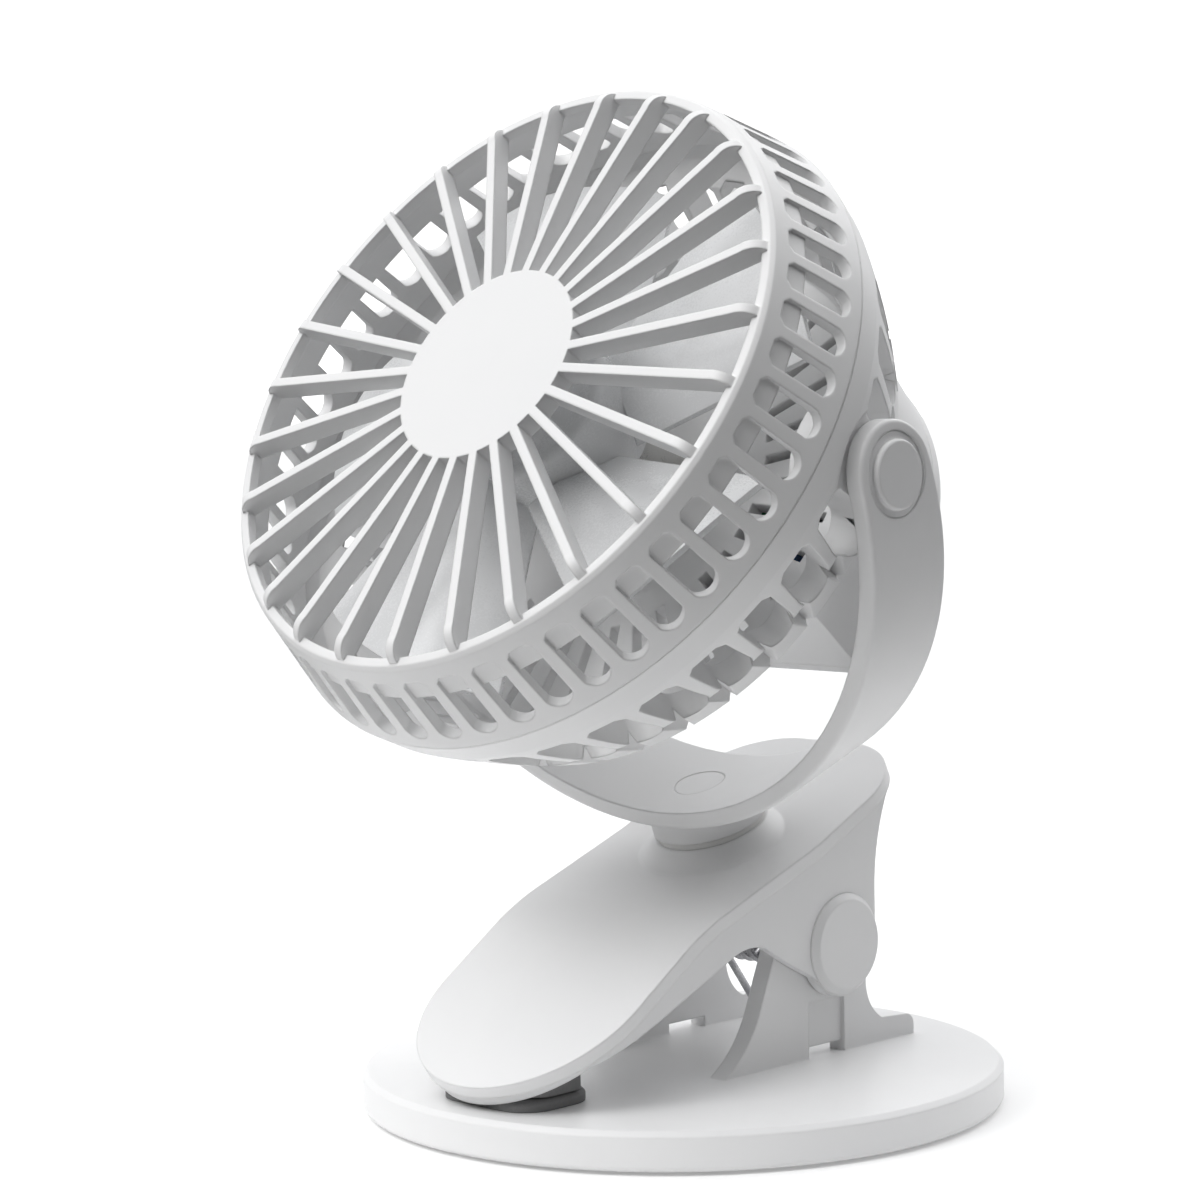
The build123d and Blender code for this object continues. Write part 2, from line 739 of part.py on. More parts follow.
for name, steps in turned_pieces:
    with BuildPart() as turned_piece:
        for side in (-1, 1):
            for radius, bore, inner_x, outer_x in steps:
                with BuildSketch(side_plane(side * inner_x)):
                    with Locations(pivot_spot):
                        Circle(radius)
                        if bore:
                            Circle(bore, mode=Mode.SUBTRACT)
                extrude(amount=side * (outer_x - inner_x))
    save(turned_piece, name)

cap_outer = yoke_radius + 0.8
cap_flange = yoke_radius - 0.5     # the flange lies a little below the yoke's face
cap_roof = 1.0
cap_edge = 0.4
for side, name in ((-1, "pivot_cap_left"), (1, "pivot_cap_right")):
    with BuildPart() as pivot_cap:
        with BuildSketch(side_plane(side * cap_seat)):
            with Locations(pivot_spot):
                Circle(pivot_cap_radius)
        extrude(amount=side * (cap_flange - cap_seat))
        with BuildSketch(side_plane(side * cap_seat)):
            with Locations(pivot_spot):
                Circle(pivot_cap_face_radius)
        extrude(amount=side * (cap_outer - cap_seat))
        outer_edges = pivot_cap.edges().filter_by(GeomType.CIRCLE).sort_by(Axis.X)
        chamfer(outer_edges[-1] if side > 0 else outer_edges[0], cap_edge)
        with BuildSketch(side_plane(side * cap_seat)):
            with Locations(pivot_spot):
                Circle(head_screw_radius + 0.8)
        extrude(amount=side * (cap_outer - cap_roof - cap_seat), mode=Mode.SUBTRACT)
    save(pivot_cap, name)


# ---------------------------------------------------------------- front cage

wall_lean = degrees(atan2(seam_radius - rim_radius, rim_depth - seam_depth))
lip_height = 2.6
lip_thickness = 1.0
grille_front = rim_depth + hub_rise
spoke_bend = 4.6               # the spokes' outer ends bend back into the rim
spoke_inner = hub_radius - 2
spoke_end = rim_radius - rim_band / 2
spoke_angles = [90 + 360 / spoke_count * k for k in range(spoke_count)]
rim_edge = 0.8
rim_skin = 2.4                 # front band of the rim, before it thins to the wall
hub_skin = 2.2
slot_corner = 2.0


def wall_plane(angle, along):
    """Plane lying on the front cage's wall: x runs round it, y to the front."""
    outward = radial(angle)
    lean = radians(wall_lean)
    forward = fan_front * cos(lean) - outward * sin(lean)
    normal = outward * cos(lean) + fan_front * sin(lean)
    origin = head_pivot + outward * seam_radius + fan_front * seam_depth + forward * along
    return Plane(origin=origin, x_dir=fan_front.cross(outward), z_dir=normal)


slot_angles = [5.0 + 360 / slot_count * k for k in range(slot_count)]

with BuildPart() as front_cage:
    with BuildSketch(section_plane(0)):
        with BuildLine():
            wall = Line((seam_radius, seam_depth), (rim_radius, rim_depth - rim_edge))
            Polyline(
                wall @ 1,
                (rim_radius - rim_edge, rim_depth),
                (rim_radius - rim_band, rim_depth),
                (rim_radius - rim_band, rim_depth - rim_skin),
                (rim_radius - cage_wall + 0.7, rim_depth - rim_skin - 0.8),
                (seam_radius - cage_wall - lip_thickness, seam_depth + 2),
                (seam_radius - cage_wall - lip_thickness, seam_depth - lip_height),
                (seam_radius - cage_wall - running_fit, seam_depth - lip_height),
                (seam_radius - cage_wall - running_fit, seam_depth),
                wall @ 0,
            )
        make_face()
    revolve(axis=fan_axis)
    with BuildSketch(head_plane.offset(grille_front)):
        Circle(hub_radius)
    extrude(amount=-spoke_depth)
    with BuildSketch(*[section_plane(angle) for angle in spoke_angles]):
        with BuildLine():
            spoke_front = Line((spoke_inner, grille_front), (spoke_end - spoke_bend, grille_front))
            bend = ThreePointArc(
                spoke_front @ 1,
                (spoke_end - spoke_bend * (1 - sin(pi / 4)), grille_front - hub_rise * (1 - sin(pi / 4))),
                (spoke_end, rim_depth),
            )
            Polyline(
                bend @ 1,
                (spoke_end, grille_front - spoke_depth),
                (spoke_inner, grille_front - spoke_depth),
                spoke_front @ 0,
            )
        make_face()
    extrude(amount=spoke_width / 2, both=True)
    with BuildSketch(head_plane.offset(grille_front - spoke_depth)):
        Circle(hub_radius - hub_skin)
    extrude(amount=spoke_depth - hub_skin, mode=Mode.SUBTRACT)
    with BuildSketch(*[wall_plane(angle, slot_start) for angle in slot_angles]):
        with BuildLine():
            half = slot_width / 2
            Polyline((-half, slot_corner), (-half, slot_length), (half, slot_length), (half, slot_corner))
            ThreePointArc((half, slot_corner), (0, 0), (-half, slot_corner))
        make_face()
    extrude(amount=-cage_wall - 3, mode=Mode.SUBTRACT)
    with BuildSketch(*[wall_plane(angle, slot_start + slot_length) for angle in slot_angles]):
        Polygon(
            (-half, -0.5),
            (half, -0.5),
            (half, recess_length - recess_corner),
            (half - recess_corner, recess_length),
            (recess_corner - half, recess_length),
            (-half, recess_length - recess_corner),
            align=None,
        )
    extrude(amount=-recess_depth, mode=Mode.SUBTRACT)
save(front_cage, "front_cage")


# ---------------------------------------------------------------- rear cage

band_back = seam_depth - band_length
fin_pitch = 360 / fin_count
bowl_swell = 4.8               # middle of the bowl beyond the rear ring's radius
window_end = 1.6               # from a window's rear end to the rear ring's front face
scallop_floor = back_radius - 3.4      # notches between the windows scallop the rear edge
scallop_width = 6.0
scallop_top = back_depth + 4.0
slit_count = 36
slit_width = 2.2
slit_inner = 31.0
slit_outer = 51.0

window_corner = 1.6
window_angles = [fin_pitch * k for k in range(fin_count) if k not in (0, fin_count // 2)]
window_radius = (seam_radius + back_radius) / 2

# the pivot bosses end inside a sphere round the tilt point that clears the yoke's arms,
# and the cage is relieved to the same sphere round them
boss_reach = yoke_inner - face_gap
boss_edge_x = sqrt(boss_reach**2 - boss_radius**2)
boss_flare = 5.0
boss_root = 60.0
relief_radius = yoke_end_radius + 2
relief_edge_x = sqrt(boss_reach**2 - relief_radius**2)
boss_face_x = sqrt(boss_reach**2 - relief_radius**2 / 4)

# four posts carry the housing and its cover
housing_screw_radius = 1.3
post_radius_head = 3.2
post_circle = 44.0
post_angles = (16, 60, 120, 164)
post_places = [
    (post_circle * cos(radians(angle)), post_circle * sin(radians(angle))) for angle in post_angles
]

with BuildPart() as rear_cage:
    with BuildSketch(section_plane(0)):
        with BuildLine():
            band = Line((seam_radius, seam_depth), (seam_radius - 1.2, band_back + 2.5))
            bowl = ThreePointArc(
                band @ 1,
                (back_radius + bowl_swell, (band_back + back_depth) / 2 + 0.6),
                (back_radius - 1.6, back_depth - back_thickness),
            )
            Polyline(
                bowl @ 1,
                (motor_radius + 4, back_depth - back_thickness),
                (motor_radius + 4, back_depth),
                (back_radius - fin_depth, back_depth),
                (seam_radius - fin_depth - 2.6, band_back),
                (seam_radius - cage_wall - 1.0, band_back + 2.0),
                (seam_radius - cage_wall, seam_depth - lip_height - face_gap),
                (seam_radius - cage_wall, seam_depth),
                band @ 0,
            )
        make_face()
    revolve(axis=fan_axis)
    for side in (-1, 1):
        with BuildSketch(Plane(origin=head_pivot, x_dir=(side, 0, 0), z_dir=fan_up)):
            Polygon(
                (boss_root, 0),
                (boss_reach + 2, 0),
                (boss_reach + 2, boss_radius),
                (boss_edge_x, boss_radius),
                (boss_edge_x - boss_flare, boss_root_radius),
                (boss_root, boss_root_radius),
                align=None,
            )
        revolve(axis=Axis(head_pivot, x_axis))
        with BuildSketch(Plane(origin=head_pivot, x_dir=(side, 0, 0), z_dir=fan_up)):
            Polygon(
                (boss_face_x, 0),
                (boss_face_x, relief_radius / 2),
                (relief_edge_x, relief_radius),
                (seam_radius + 1, relief_radius),
                (seam_radius + 1, 0),
                align=None,
            )
        revolve(axis=Axis(head_pivot, x_axis), mode=Mode.SUBTRACT)
    with BuildSketch(*[facing_plane(angle, back_radius - fin_depth - 6) for angle in window_angles]):
        with BuildLine():
            half = radians(fin_pitch) * window_radius / 2 - fin_width / 2
            window_top = band_back + 0.4
            window_bottom = back_depth + window_end
            Polyline(
                (-half, window_bottom + half),
                (-half, window_top - window_corner),
                (window_corner - half, window_top),
                (half - window_corner, window_top),
                (half, window_top - window_corner),
                (half, window_bottom + half),
            )
            ThreePointArc((half, window_bottom + half), (0, window_bottom), (-half, window_bottom + half))
        make_face()
    extrude(amount=40, mode=Mode.SUBTRACT)
    with BuildSketch(head_plane.offset(scallop_top)):
        with PolarLocations(scallop_floor, fin_count, fin_pitch / 2):
            Polygon(
                (0, 0),
                (scallop_width, scallop_width / 2),
                (scallop_width, -scallop_width / 2),
                align=None,
            )
    extrude(amount=back_depth - back_thickness - 1 - scallop_top, mode=Mode.SUBTRACT)
    with BuildSketch(head_plane.offset(back_depth + 1)):
        with PolarLocations((slit_inner + slit_outer) / 2, slit_count, fin_pitch / 2):
            Rectangle(slit_outer - slit_inner, slit_width)
    extrude(amount=-back_thickness - 2, mode=Mode.SUBTRACT)
    with BuildSketch(head_plane.offset(back_depth)):
        Circle(motor_radius + 6)
    extrude(amount=-back_thickness)
    with BuildSketch(side_plane(0)):
        with Locations(pivot_spot):
            Circle(pivot_screw_radius)
    extrude(amount=boss_reach + 1, both=True, mode=Mode.SUBTRACT)
    with BuildSketch(head_plane.offset(back_depth - back_thickness)):
        with Locations(*post_places):
            Circle(housing_screw_radius)
    extrude(amount=back_thickness - 0.8, mode=Mode.SUBTRACT)
save(rear_cage, "rear_cage")


# ---------------------------------------------------------------- rear housing

housing_front = back_depth - back_thickness
housing_back = housing_front - housing_depth
rib_end = housing_rear_radius - housing_wall / 2    # a rib ties each post to the wall
rib_width = 1.6


def housing_outline(radius, inset):
    """Drum outline with a flat underside, made smaller by the wall."""
    Circle(radius - inset)
    with Locations((0, housing_floor + inset - radius)):
        Rectangle(3 * radius, 2 * radius, mode=Mode.SUBTRACT)


with BuildPart() as rear_housing:
    for inset, mode in ((0, Mode.ADD), (housing_wall, Mode.SUBTRACT)):
        with BuildSketch(head_plane.offset(housing_front)):
            housing_outline(housing_front_radius, inset)
        with BuildSketch(head_plane.offset(housing_back)):
            housing_outline(housing_rear_radius, inset)
        loft(mode=mode)
    with BuildSketch(head_plane.offset(housing_front)):
        with Locations(*post_places):
            Circle(post_radius_head)
        for angle in post_angles:
            with PolarLocations((post_circle + rib_end) / 2, 1, angle):
                Rectangle(rib_end - post_circle, rib_width)
    extrude(amount=-housing_depth)
    with BuildSketch(head_plane.offset(housing_front)):
        with Locations(*post_places):
            Circle(housing_screw_radius)
    extrude(amount=-housing_depth, mode=Mode.SUBTRACT)
save(rear_housing, "rear_housing")

cover_wall = 2.0
cover_floor = housing_back - cover_depth + cover_wall
board_height = 4.0             # cover's inner face to the board
button_x = 0.0
button_w = 14.0
button_radius = 6.5
button_travel = 0.8
button_proud = 1.0
port_w = -11.0
port_width = 9.0
port_height = 3.3
lens_w = 30.0
lens_radius = 1.3
board_posts = [(x, w) for x in (-16, 16) for w in (4, 26)]
board_post_radius = 2.2

with BuildPart() as rear_cover:
    with BuildSketch(head_plane.offset(housing_back)):
        housing_outline(housing_rear_radius, 0)
    extrude(amount=-cover_depth)
    fillet(rear_cover.faces().sort_by(fan_axis)[0].edges(), cover_round)
    with BuildSketch(head_plane.offset(housing_back)):
        housing_outline(housing_rear_radius, housing_wall + 0.8)
    extrude(amount=-cover_depth + cover_wall, mode=Mode.SUBTRACT)
    with BuildSketch(head_plane.offset(housing_back)):
        with Locations(*post_places):
            Circle(post_radius_head)
    extrude(amount=-cover_depth + cover_wall)
    with BuildSketch(head_plane.offset(cover_floor)):
        with Locations(*board_posts):
            Circle(board_post_radius)
    extrude(amount=board_height)
    with BuildSketch(head_plane.offset(housing_back)):
        with Locations(*post_places):
            Circle(housing_screw_radius + slide_gap)
        with Locations((button_x, button_w)):
            Circle(button_radius + slide_gap)
        with Locations((0, port_w)):
            RectangleRounded(port_width + 0.4, port_height + 0.4, 1.6)
        with Locations((0, lens_w)):
            Circle(lens_radius)
    extrude(amount=-cover_depth - 1, mode=Mode.SUBTRACT)
    with BuildSketch(head_plane.offset(housing_back - cover_depth)):
        with Locations(*post_places):
            Circle(screw_head_radius + slide_gap)
    extrude(amount=screw_head_height + 0.3, mode=Mode.SUBTRACT)
save(rear_cover, "rear_cover")

with BuildPart() as housing_screws:
    head_seat = housing_back - cover_depth + screw_head_height + 0.3
    with BuildSketch(head_plane.offset(head_seat)):
        with Locations(*post_places):
            Circle(screw_head_radius)
    extrude(amount=-screw_head_height)
    with BuildSketch(head_plane.offset(head_seat)):
        with Locations(*post_places):
            Circle(housing_screw_radius)
    extrude(amount=housing_front + back_thickness - 1.2 - head_seat)
save(housing_screws, "housing_screws")

board_face = cover_floor + board_height
board_thickness = 1.6
board_width = 44.0
board_bottom = -1.5
board_top = 32.0

with BuildPart() as circuit_board:
    with BuildSketch(head_plane.offset(board_face)):
        with Locations((0, (board_bottom + board_top) / 2)):
            RectangleRounded(board_width, board_top - board_bottom, 2.0)
        with Locations((0, port_w / 2 + board_bottom / 2)):
            Rectangle(port_width + 4, board_bottom - port_w + 8)
    extrude(amount=board_thickness)
save(circuit_board, "circuit_board")

with BuildPart() as charging_port:
    with BuildSketch(head_plane.offset(board_face)):
        with Locations((0, port_w)):
            RectangleRounded(port_width, port_height, 1.4)
    extrude(amount=housing_back - cover_depth + 0.3 - board_face)
    with BuildSketch(head_plane.offset(housing_back - cover_depth)):
        with Locations((0, port_w)):
            RectangleRounded(port_width - 1.2, port_height - 1.2, 0.9)
    extrude(amount=6, mode=Mode.SUBTRACT)
save(charging_port, "charging_port")

with BuildPart() as status_lens:
    with BuildSketch(head_plane.offset(housing_back - cover_depth)):
        with Locations((0, lens_w)):
            Circle(lens_radius)
    extrude(amount=cover_wall + 1)
save(status_lens, "status_lens")

button_flange = 0.9
with BuildPart() as power_button:
    with BuildSketch(head_plane.offset(housing_back - cover_depth - button_proud)):
        with Locations((button_x, button_w)):
            Circle(button_radius)
    extrude(amount=cover_wall + button_proud + face_gap)
    fillet(power_button.faces().sort_by(fan_axis)[0].edges(), 0.7)
    with BuildSketch(head_plane.offset(cover_floor + face_gap)):
        with Locations((button_x, button_w)):
            Circle(button_radius + 1.2)
    extrude(amount=button_flange)
    with BuildSketch(head_plane.offset(cover_floor + face_gap)):
        with Locations((button_x, button_w)):
            Circle(1.5)
    extrude(amount=board_height - 2 * face_gap - button_travel)
save(power_button, "power_button")

battery_radius = 9.0
battery_half_length = 32.5
battery_nub_radius = 2.8
battery_w = housing_floor + housing_wall + battery_radius + face_gap
battery_depth = housing_front - battery_radius - 2.0

with BuildPart() as battery:
    battery_plane = Plane(
        origin=head_pivot + fan_front * battery_depth + fan_up * battery_w,
        x_dir=fan_front,
        z_dir=x_axis,
    )
    with BuildSketch(battery_plane.offset(-battery_half_length)):
        Circle(battery_radius)
    extrude(amount=2 * battery_half_length - 1)
    fillet(battery.edges(), 0.8)
    with BuildSketch(battery_plane.offset(battery_half_length - 1)):
        Circle(battery_nub_radius)
    extrude(amount=1)
save(battery, "battery")


# ---------------------------------------------------------------- motor and impeller

bearing_radius = 3.5
bearing_length = 3.0
shaft_tail = back_depth + 1.0
hub_back = impeller_front - impeller_hub_length
hub_wall = 2.0
shaft_front = impeller_front - 3.0

with BuildPart() as motor_can:
    with BuildSketch(head_plane.offset(back_depth)):
        Circle(motor_radius)
    extrude(amount=motor_length)
    fillet(motor_can.faces().sort_by(fan_axis)[-1].edges(), 1.2)
    with BuildSketch(head_plane.offset(back_depth)):
        Circle(bearing_radius)
    extrude(amount=motor_length, mode=Mode.SUBTRACT)
save(motor_can, "motor_can")

with BuildPart() as motor_bearings:
    for start in (back_depth + 0.5, back_depth + motor_length - bearing_length):
        with BuildSketch(head_plane.offset(start)):
            Circle(bearing_radius)
            Circle(shaft_radius + running_fit, mode=Mode.SUBTRACT)
        extrude(amount=bearing_length)
save(motor_bearings, "motor_bearings")

with BuildPart() as motor_shaft:
    with BuildSketch(head_plane.offset(shaft_tail)):
        Circle(shaft_radius)
    extrude(amount=shaft_front - shaft_tail)
save(motor_shaft, "motor_shaft")

blade_root_radius = impeller_hub_radius - 1.5
blade_tip_radius = impeller_radius + 6
blade_depth = (impeller_front + hub_back) / 2
blade_root_chord = 19.0
blade_tip_chord = 50.0
blade_root_pitch = 48.0
blade_tip_pitch = 20.0
blade_rake = 22.0              # the tip leads the root round the axis
blade_camber = 0.09


def blade_plane(angle, radius, pitch):
    """Plane of a blade section, turned to its pitch."""
    plane = facing_plane(angle, radius)
    plane = Plane(origin=plane.origin + fan_front * blade_depth, x_dir=plane.x_dir, z_dir=plane.z_dir)
    return plane.rotated((0, 0, pitch))


# ends of a blade: radius, chord, pitch and how far it is turned round the axis
blade_ends = (
    (blade_root_radius, blade_root_chord, blade_root_pitch, 0),
    (blade_tip_radius, blade_tip_chord, blade_tip_pitch, blade_rake),
)

with BuildPart() as impeller:
    for blade in range(blade_count):
        for radius, chord, pitch, rake in blade_ends:
            with BuildSketch(blade_plane(90 + 360 / blade_count * blade + rake, radius, pitch)):
                with BuildLine():
                    half = chord / 2
                    crown = blade_camber * chord
                    rear_face = ThreePointArc((-half, 0), (0, crown), (half, 0))
                    edge = Line(rear_face @ 1, (half, -blade_thickness))
                    front_face = ThreePointArc(
                        edge @ 1,
                        (0, crown - blade_thickness),
                        (-half, -blade_thickness),
                    )
                    Line(front_face @ 1, rear_face @ 0)
                make_face()
        loft()
    with BuildSketch(head_plane):
        Circle(impeller_radius)
    extrude(amount=2 * impeller_front, mode=Mode.INTERSECT)
    with BuildSketch(head_plane.offset(hub_back)):
        Circle(impeller_hub_radius)
    extrude(amount=impeller_hub_length)
    fillet(impeller.edges().filter_by(GeomType.CIRCLE).group_by(fan_axis)[-1], 2.0)
    with BuildSketch(head_plane.offset(hub_back - 8)):
        Circle(impeller_hub_radius - hub_wall)
    extrude(amount=impeller_hub_length + 8 - hub_wall, mode=Mode.SUBTRACT)
    with BuildSketch(head_plane.offset(hub_back)):
        Circle(shaft_radius + 2)
    extrude(amount=impeller_hub_length - hub_wall)
    with BuildSketch(head_plane.offset(hub_back)):
        Circle(shaft_radius)
    extrude(amount=shaft_front - hub_back, mode=Mode.SUBTRACT)
save(impeller, "impeller")
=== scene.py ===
import bpy
import bmesh
import json
import math
from mathutils import Matrix, Vector


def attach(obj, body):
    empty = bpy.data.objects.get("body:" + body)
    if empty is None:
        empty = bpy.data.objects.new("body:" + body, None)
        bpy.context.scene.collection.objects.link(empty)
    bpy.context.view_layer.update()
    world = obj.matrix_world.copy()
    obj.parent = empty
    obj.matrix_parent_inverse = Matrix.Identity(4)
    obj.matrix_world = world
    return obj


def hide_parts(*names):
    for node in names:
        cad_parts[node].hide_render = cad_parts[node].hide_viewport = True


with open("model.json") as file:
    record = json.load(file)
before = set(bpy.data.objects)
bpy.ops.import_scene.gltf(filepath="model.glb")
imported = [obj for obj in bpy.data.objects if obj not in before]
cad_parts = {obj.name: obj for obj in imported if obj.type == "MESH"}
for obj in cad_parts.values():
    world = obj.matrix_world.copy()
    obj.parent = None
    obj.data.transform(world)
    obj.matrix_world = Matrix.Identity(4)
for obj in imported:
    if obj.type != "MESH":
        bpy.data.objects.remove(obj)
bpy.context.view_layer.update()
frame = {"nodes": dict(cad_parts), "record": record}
nodes = frame["nodes"]
record = frame["record"]
jointOf = {joint["name"]: joint for joint in record["behaviour"]["joints"]}
print("frame loaded:", len(nodes), "nodes")


# the view that the photograph was taken from
cameraSpec = {
    "place": (0.4492, -0.4790, 0.1498),
    "azimuth": 44.48,  # turned from straight on, degrees
    "downward": 4.04,
    "roll": -1.13,
    "lens": 96.48,
    "sensor": 36.0,
    "nearest": 0.01,
}


def addCamera(spec):
    turn, dip, roll = (math.radians(spec[k]) for k in ("azimuth", "downward", "roll"))
    heading = Vector((-math.sin(turn), math.cos(turn), 0))
    sight = heading * math.cos(dip) - Vector((0, 0, math.sin(dip)))
    level = Vector((math.cos(turn), math.sin(turn), 0))
    upward = level.cross(sight)
    right = level * math.cos(roll) + upward * math.sin(roll)
    top = upward * math.cos(roll) - level * math.sin(roll)
    data = bpy.data.cameras.new("camera")
    data.lens = spec["lens"]
    data.sensor_width = spec["sensor"]
    data.clip_start = spec["nearest"]
    camera = bpy.data.objects.new("camera", data)
    bpy.context.scene.collection.objects.link(camera)
    turned = Matrix((right, top, -sight)).transposed().to_4x4()
    camera.matrix_world = Matrix.Translation(spec["place"]) @ turned
    bpy.context.scene.camera = camera


addCamera(cameraSpec)
print("camera placed")


# turns a chain of (radius, height) points into a round piece about local z
def turnProfile(bm, points, steps):
    chain = [bm.verts.new((radius, 0, height)) for radius, height in points]
    edges = [bm.edges.new(pair) for pair in zip(chain, chain[1:])]
    bmesh.ops.spin(bm, geom=chain + edges, cent=(0, 0, 0), axis=(0, 0, 1), angle=math.radians(360),
                   steps=steps, use_merge=True)
    bmesh.ops.remove_doubles(bm, verts=bm.verts[:], dist=1e-7)


# a pale paper floor that curves up into a wall all round the fan
stageSpec = {
    "floorHeight": -0.0001,  # just under the mat, so that the two faces don't fight
    "nearRadius": 0.21,  # only this much of the floor throws light back on the fan
    "farRadius": 9.0,
    "bend": 2.0,  # radius of the curve from floor to wall
    "height": 9.0,
    "bendSteps": 12,
    "steps": 96,
    "colour": (0.83, 0.83, 0.83, 1),
    "glow": 0.20,
    "wallGlow": 0.9,
    "roughness": 0.9,
    "gloss": 0.1,
}


def paperFinish(name, spec, glow):
    material = bpy.data.materials.new(name)
    material.use_nodes = True
    shader = material.node_tree.nodes["Principled BSDF"]
    shader.inputs["Base Color"].default_value = spec["colour"]
    shader.inputs["Roughness"].default_value = spec["roughness"]
    shader.inputs["Specular IOR Level"].default_value = spec["gloss"]
    shader.inputs["Emission Color"].default_value = spec["colour"]
    shader.inputs["Emission Strength"].default_value = glow
    return material


def addPaper(name, bm, *finishes):
    bmesh.ops.remove_doubles(bm, verts=bm.verts[:], dist=1e-6)
    bmesh.ops.recalc_face_normals(bm, faces=bm.faces[:])
    mesh = bpy.data.meshes.new(name)
    bm.to_mesh(mesh)
    bm.free()
    mesh.shade_smooth()
    for finish in finishes:
        mesh.materials.append(finish)
    paper = bpy.data.objects.new(name, mesh)
    bpy.context.scene.collection.objects.link(paper)
    return paper


def addStage(spec):
    floorFinish = paperFinish("floorPaper", spec, spec["glow"])
    wallFinish = paperFinish("wallPaper", spec, spec["wallGlow"])
    level = spec["floorHeight"]
    bm = bmesh.new()
    turnProfile(bm, [(0, level), (spec["nearRadius"], level)], spec["steps"])
    addPaper("nearPaper", bm, floorFinish)

    bend = []
    for step in range(1, spec["bendSteps"] + 1):
        turn = math.radians(90) * step / spec["bendSteps"]
        bend.append((spec["farRadius"] + spec["bend"] * math.sin(turn),
                     level + spec["bend"] * (1 - math.cos(turn))))
    points = [(spec["nearRadius"], level), (spec["farRadius"], level)] + bend
    points.append((bend[-1][0], spec["height"]))
    bm = bmesh.new()
    turnProfile(bm, points, spec["steps"])
    for face in bm.faces:
        face.material_index = int(face.calc_center_median().z > 0)
    farPaper = addPaper("farPaper", bm, floorFinish, wallFinish)
    farPaper.visible_diffuse = False
    farPaper.visible_glossy = False
    farPaper.visible_shadow = False  # the lamps stand outside the wall


addStage(stageSpec)

lightSpecs = {
    "keyLight": {
        "towards": (-0.14, -0.69, 0.70),
        "spread": 60,  # degrees, wide enough for soft shadows
        "power": 0.85,
        "colour": (1.0, 0.997, 0.99),
    },
}


def addLight(name, spec):
    data = bpy.data.lights.new(name, "SUN")
    data.angle = math.radians(spec["spread"])
    data.energy = spec["power"]
    data.color = spec["colour"]
    light = bpy.data.objects.new(name, data)
    bpy.context.scene.collection.objects.link(light)
    light.rotation_euler = Vector(spec["towards"]).to_track_quat("Z", "Y").to_euler()


softboxSpecs = {
    "faceSoftbox": {"place": (-0.06, -0.47, 0.47), "aim": (0, -0.05, 0.15), "size": 0.30, "power": 1.20},
    "backSoftbox": {"place": (0.02, 0.40, 0.38), "aim": (0, 0.02, 0.06), "size": 0.34, "power": 0.4},
}


def addSoftbox(name, spec):
    data = bpy.data.lights.new(name, "AREA")
    data.shape = "DISK"
    data.size = spec["size"]
    data.energy = spec["power"]
    softbox = bpy.data.objects.new(name, data)
    bpy.context.scene.collection.objects.link(softbox)
    softbox.location = spec["place"]
    backwards = Vector(spec["place"]) - Vector(spec["aim"])
    softbox.rotation_euler = backwards.to_track_quat("Z", "Y").to_euler()
    softbox.visible_camera = False


for name, spec in softboxSpecs.items():
    addSoftbox(name, spec)
for name, spec in lightSpecs.items():
    addLight(name, spec)

# the room is bright overhead and behind the fan to its left, and dark to its right
roomSpec = {
    "brightWay": (-0.34, 0.40, 0.85),
    "fade": (-0.1, 0.8),
    "strength": (0.06, 1.22),
    "colour": (0.985, 0.99, 1.0, 1),
}


def lightRoom(spec):
    world = bpy.data.worlds.new("studio")
    bpy.context.scene.world = world
    world.use_nodes = True
    tree = world.node_tree
    sky = tree.nodes["Background"]
    sky.inputs["Color"].default_value = spec["colour"]
    way = tree.nodes.new("ShaderNodeTexCoord")
    share = tree.nodes.new("ShaderNodeVectorMath")
    share.operation = "DOT_PRODUCT"
    share.inputs[1].default_value = Vector(spec["brightWay"]).normalized()
    tree.links.new(way.outputs["Generated"], share.inputs[0])
    fade = tree.nodes.new("ShaderNodeMapRange")
    fade.interpolation_type = "SMOOTHSTEP"
    for socket, value in zip(("From Min", "From Max", "To Min", "To Max"), spec["fade"] + spec["strength"]):
        fade.inputs[socket].default_value = value
    tree.links.new(share.outputs["Value"], fade.inputs["Value"])
    tree.links.new(fade.outputs["Result"], sky.inputs["Strength"])


lightRoom(roomSpec)
bpy.context.scene.view_settings.view_transform = "Standard"
print("stage and lights ready")


# every finish below is worked out from Object coordinates
def newFinish(name):
    material = bpy.data.materials.new(name)
    material.use_nodes = True
    tree = material.node_tree
    return material, tree, tree.nodes["Principled BSDF"]


def addNode(tree, kind, **settings):
    node = tree.nodes.new(kind)
    for key, value in settings.items():
        if key in node.inputs:
            node.inputs[key].default_value = value
        else:
            setattr(node, key, value)
    return node


def objectSpace(tree, stretch=(1, 1, 1)):
    place = tree.nodes.new("ShaderNodeTexCoord")
    scaled = addNode(tree, "ShaderNodeMapping", Scale=stretch)
    tree.links.new(place.outputs["Object"], scaled.inputs["Vector"])
    return scaled.outputs["Vector"]


def noiseAt(tree, space, scale, detail=3.0, rough=0.5):
    noise = addNode(tree, "ShaderNodeTexNoise", Scale=scale, Detail=detail, Roughness=rough)
    tree.links.new(space, noise.inputs["Vector"])
    return noise.outputs["Fac"]


def between(tree, value, low, high, fromLow=0.3, fromHigh=0.7):
    spread = addNode(tree, "ShaderNodeMapRange")
    spread.inputs["From Min"].default_value = fromLow
    spread.inputs["From Max"].default_value = fromHigh
    spread.inputs["To Min"].default_value = low
    spread.inputs["To Max"].default_value = high
    tree.links.new(value, spread.inputs["Value"])
    return spread.outputs["Result"]


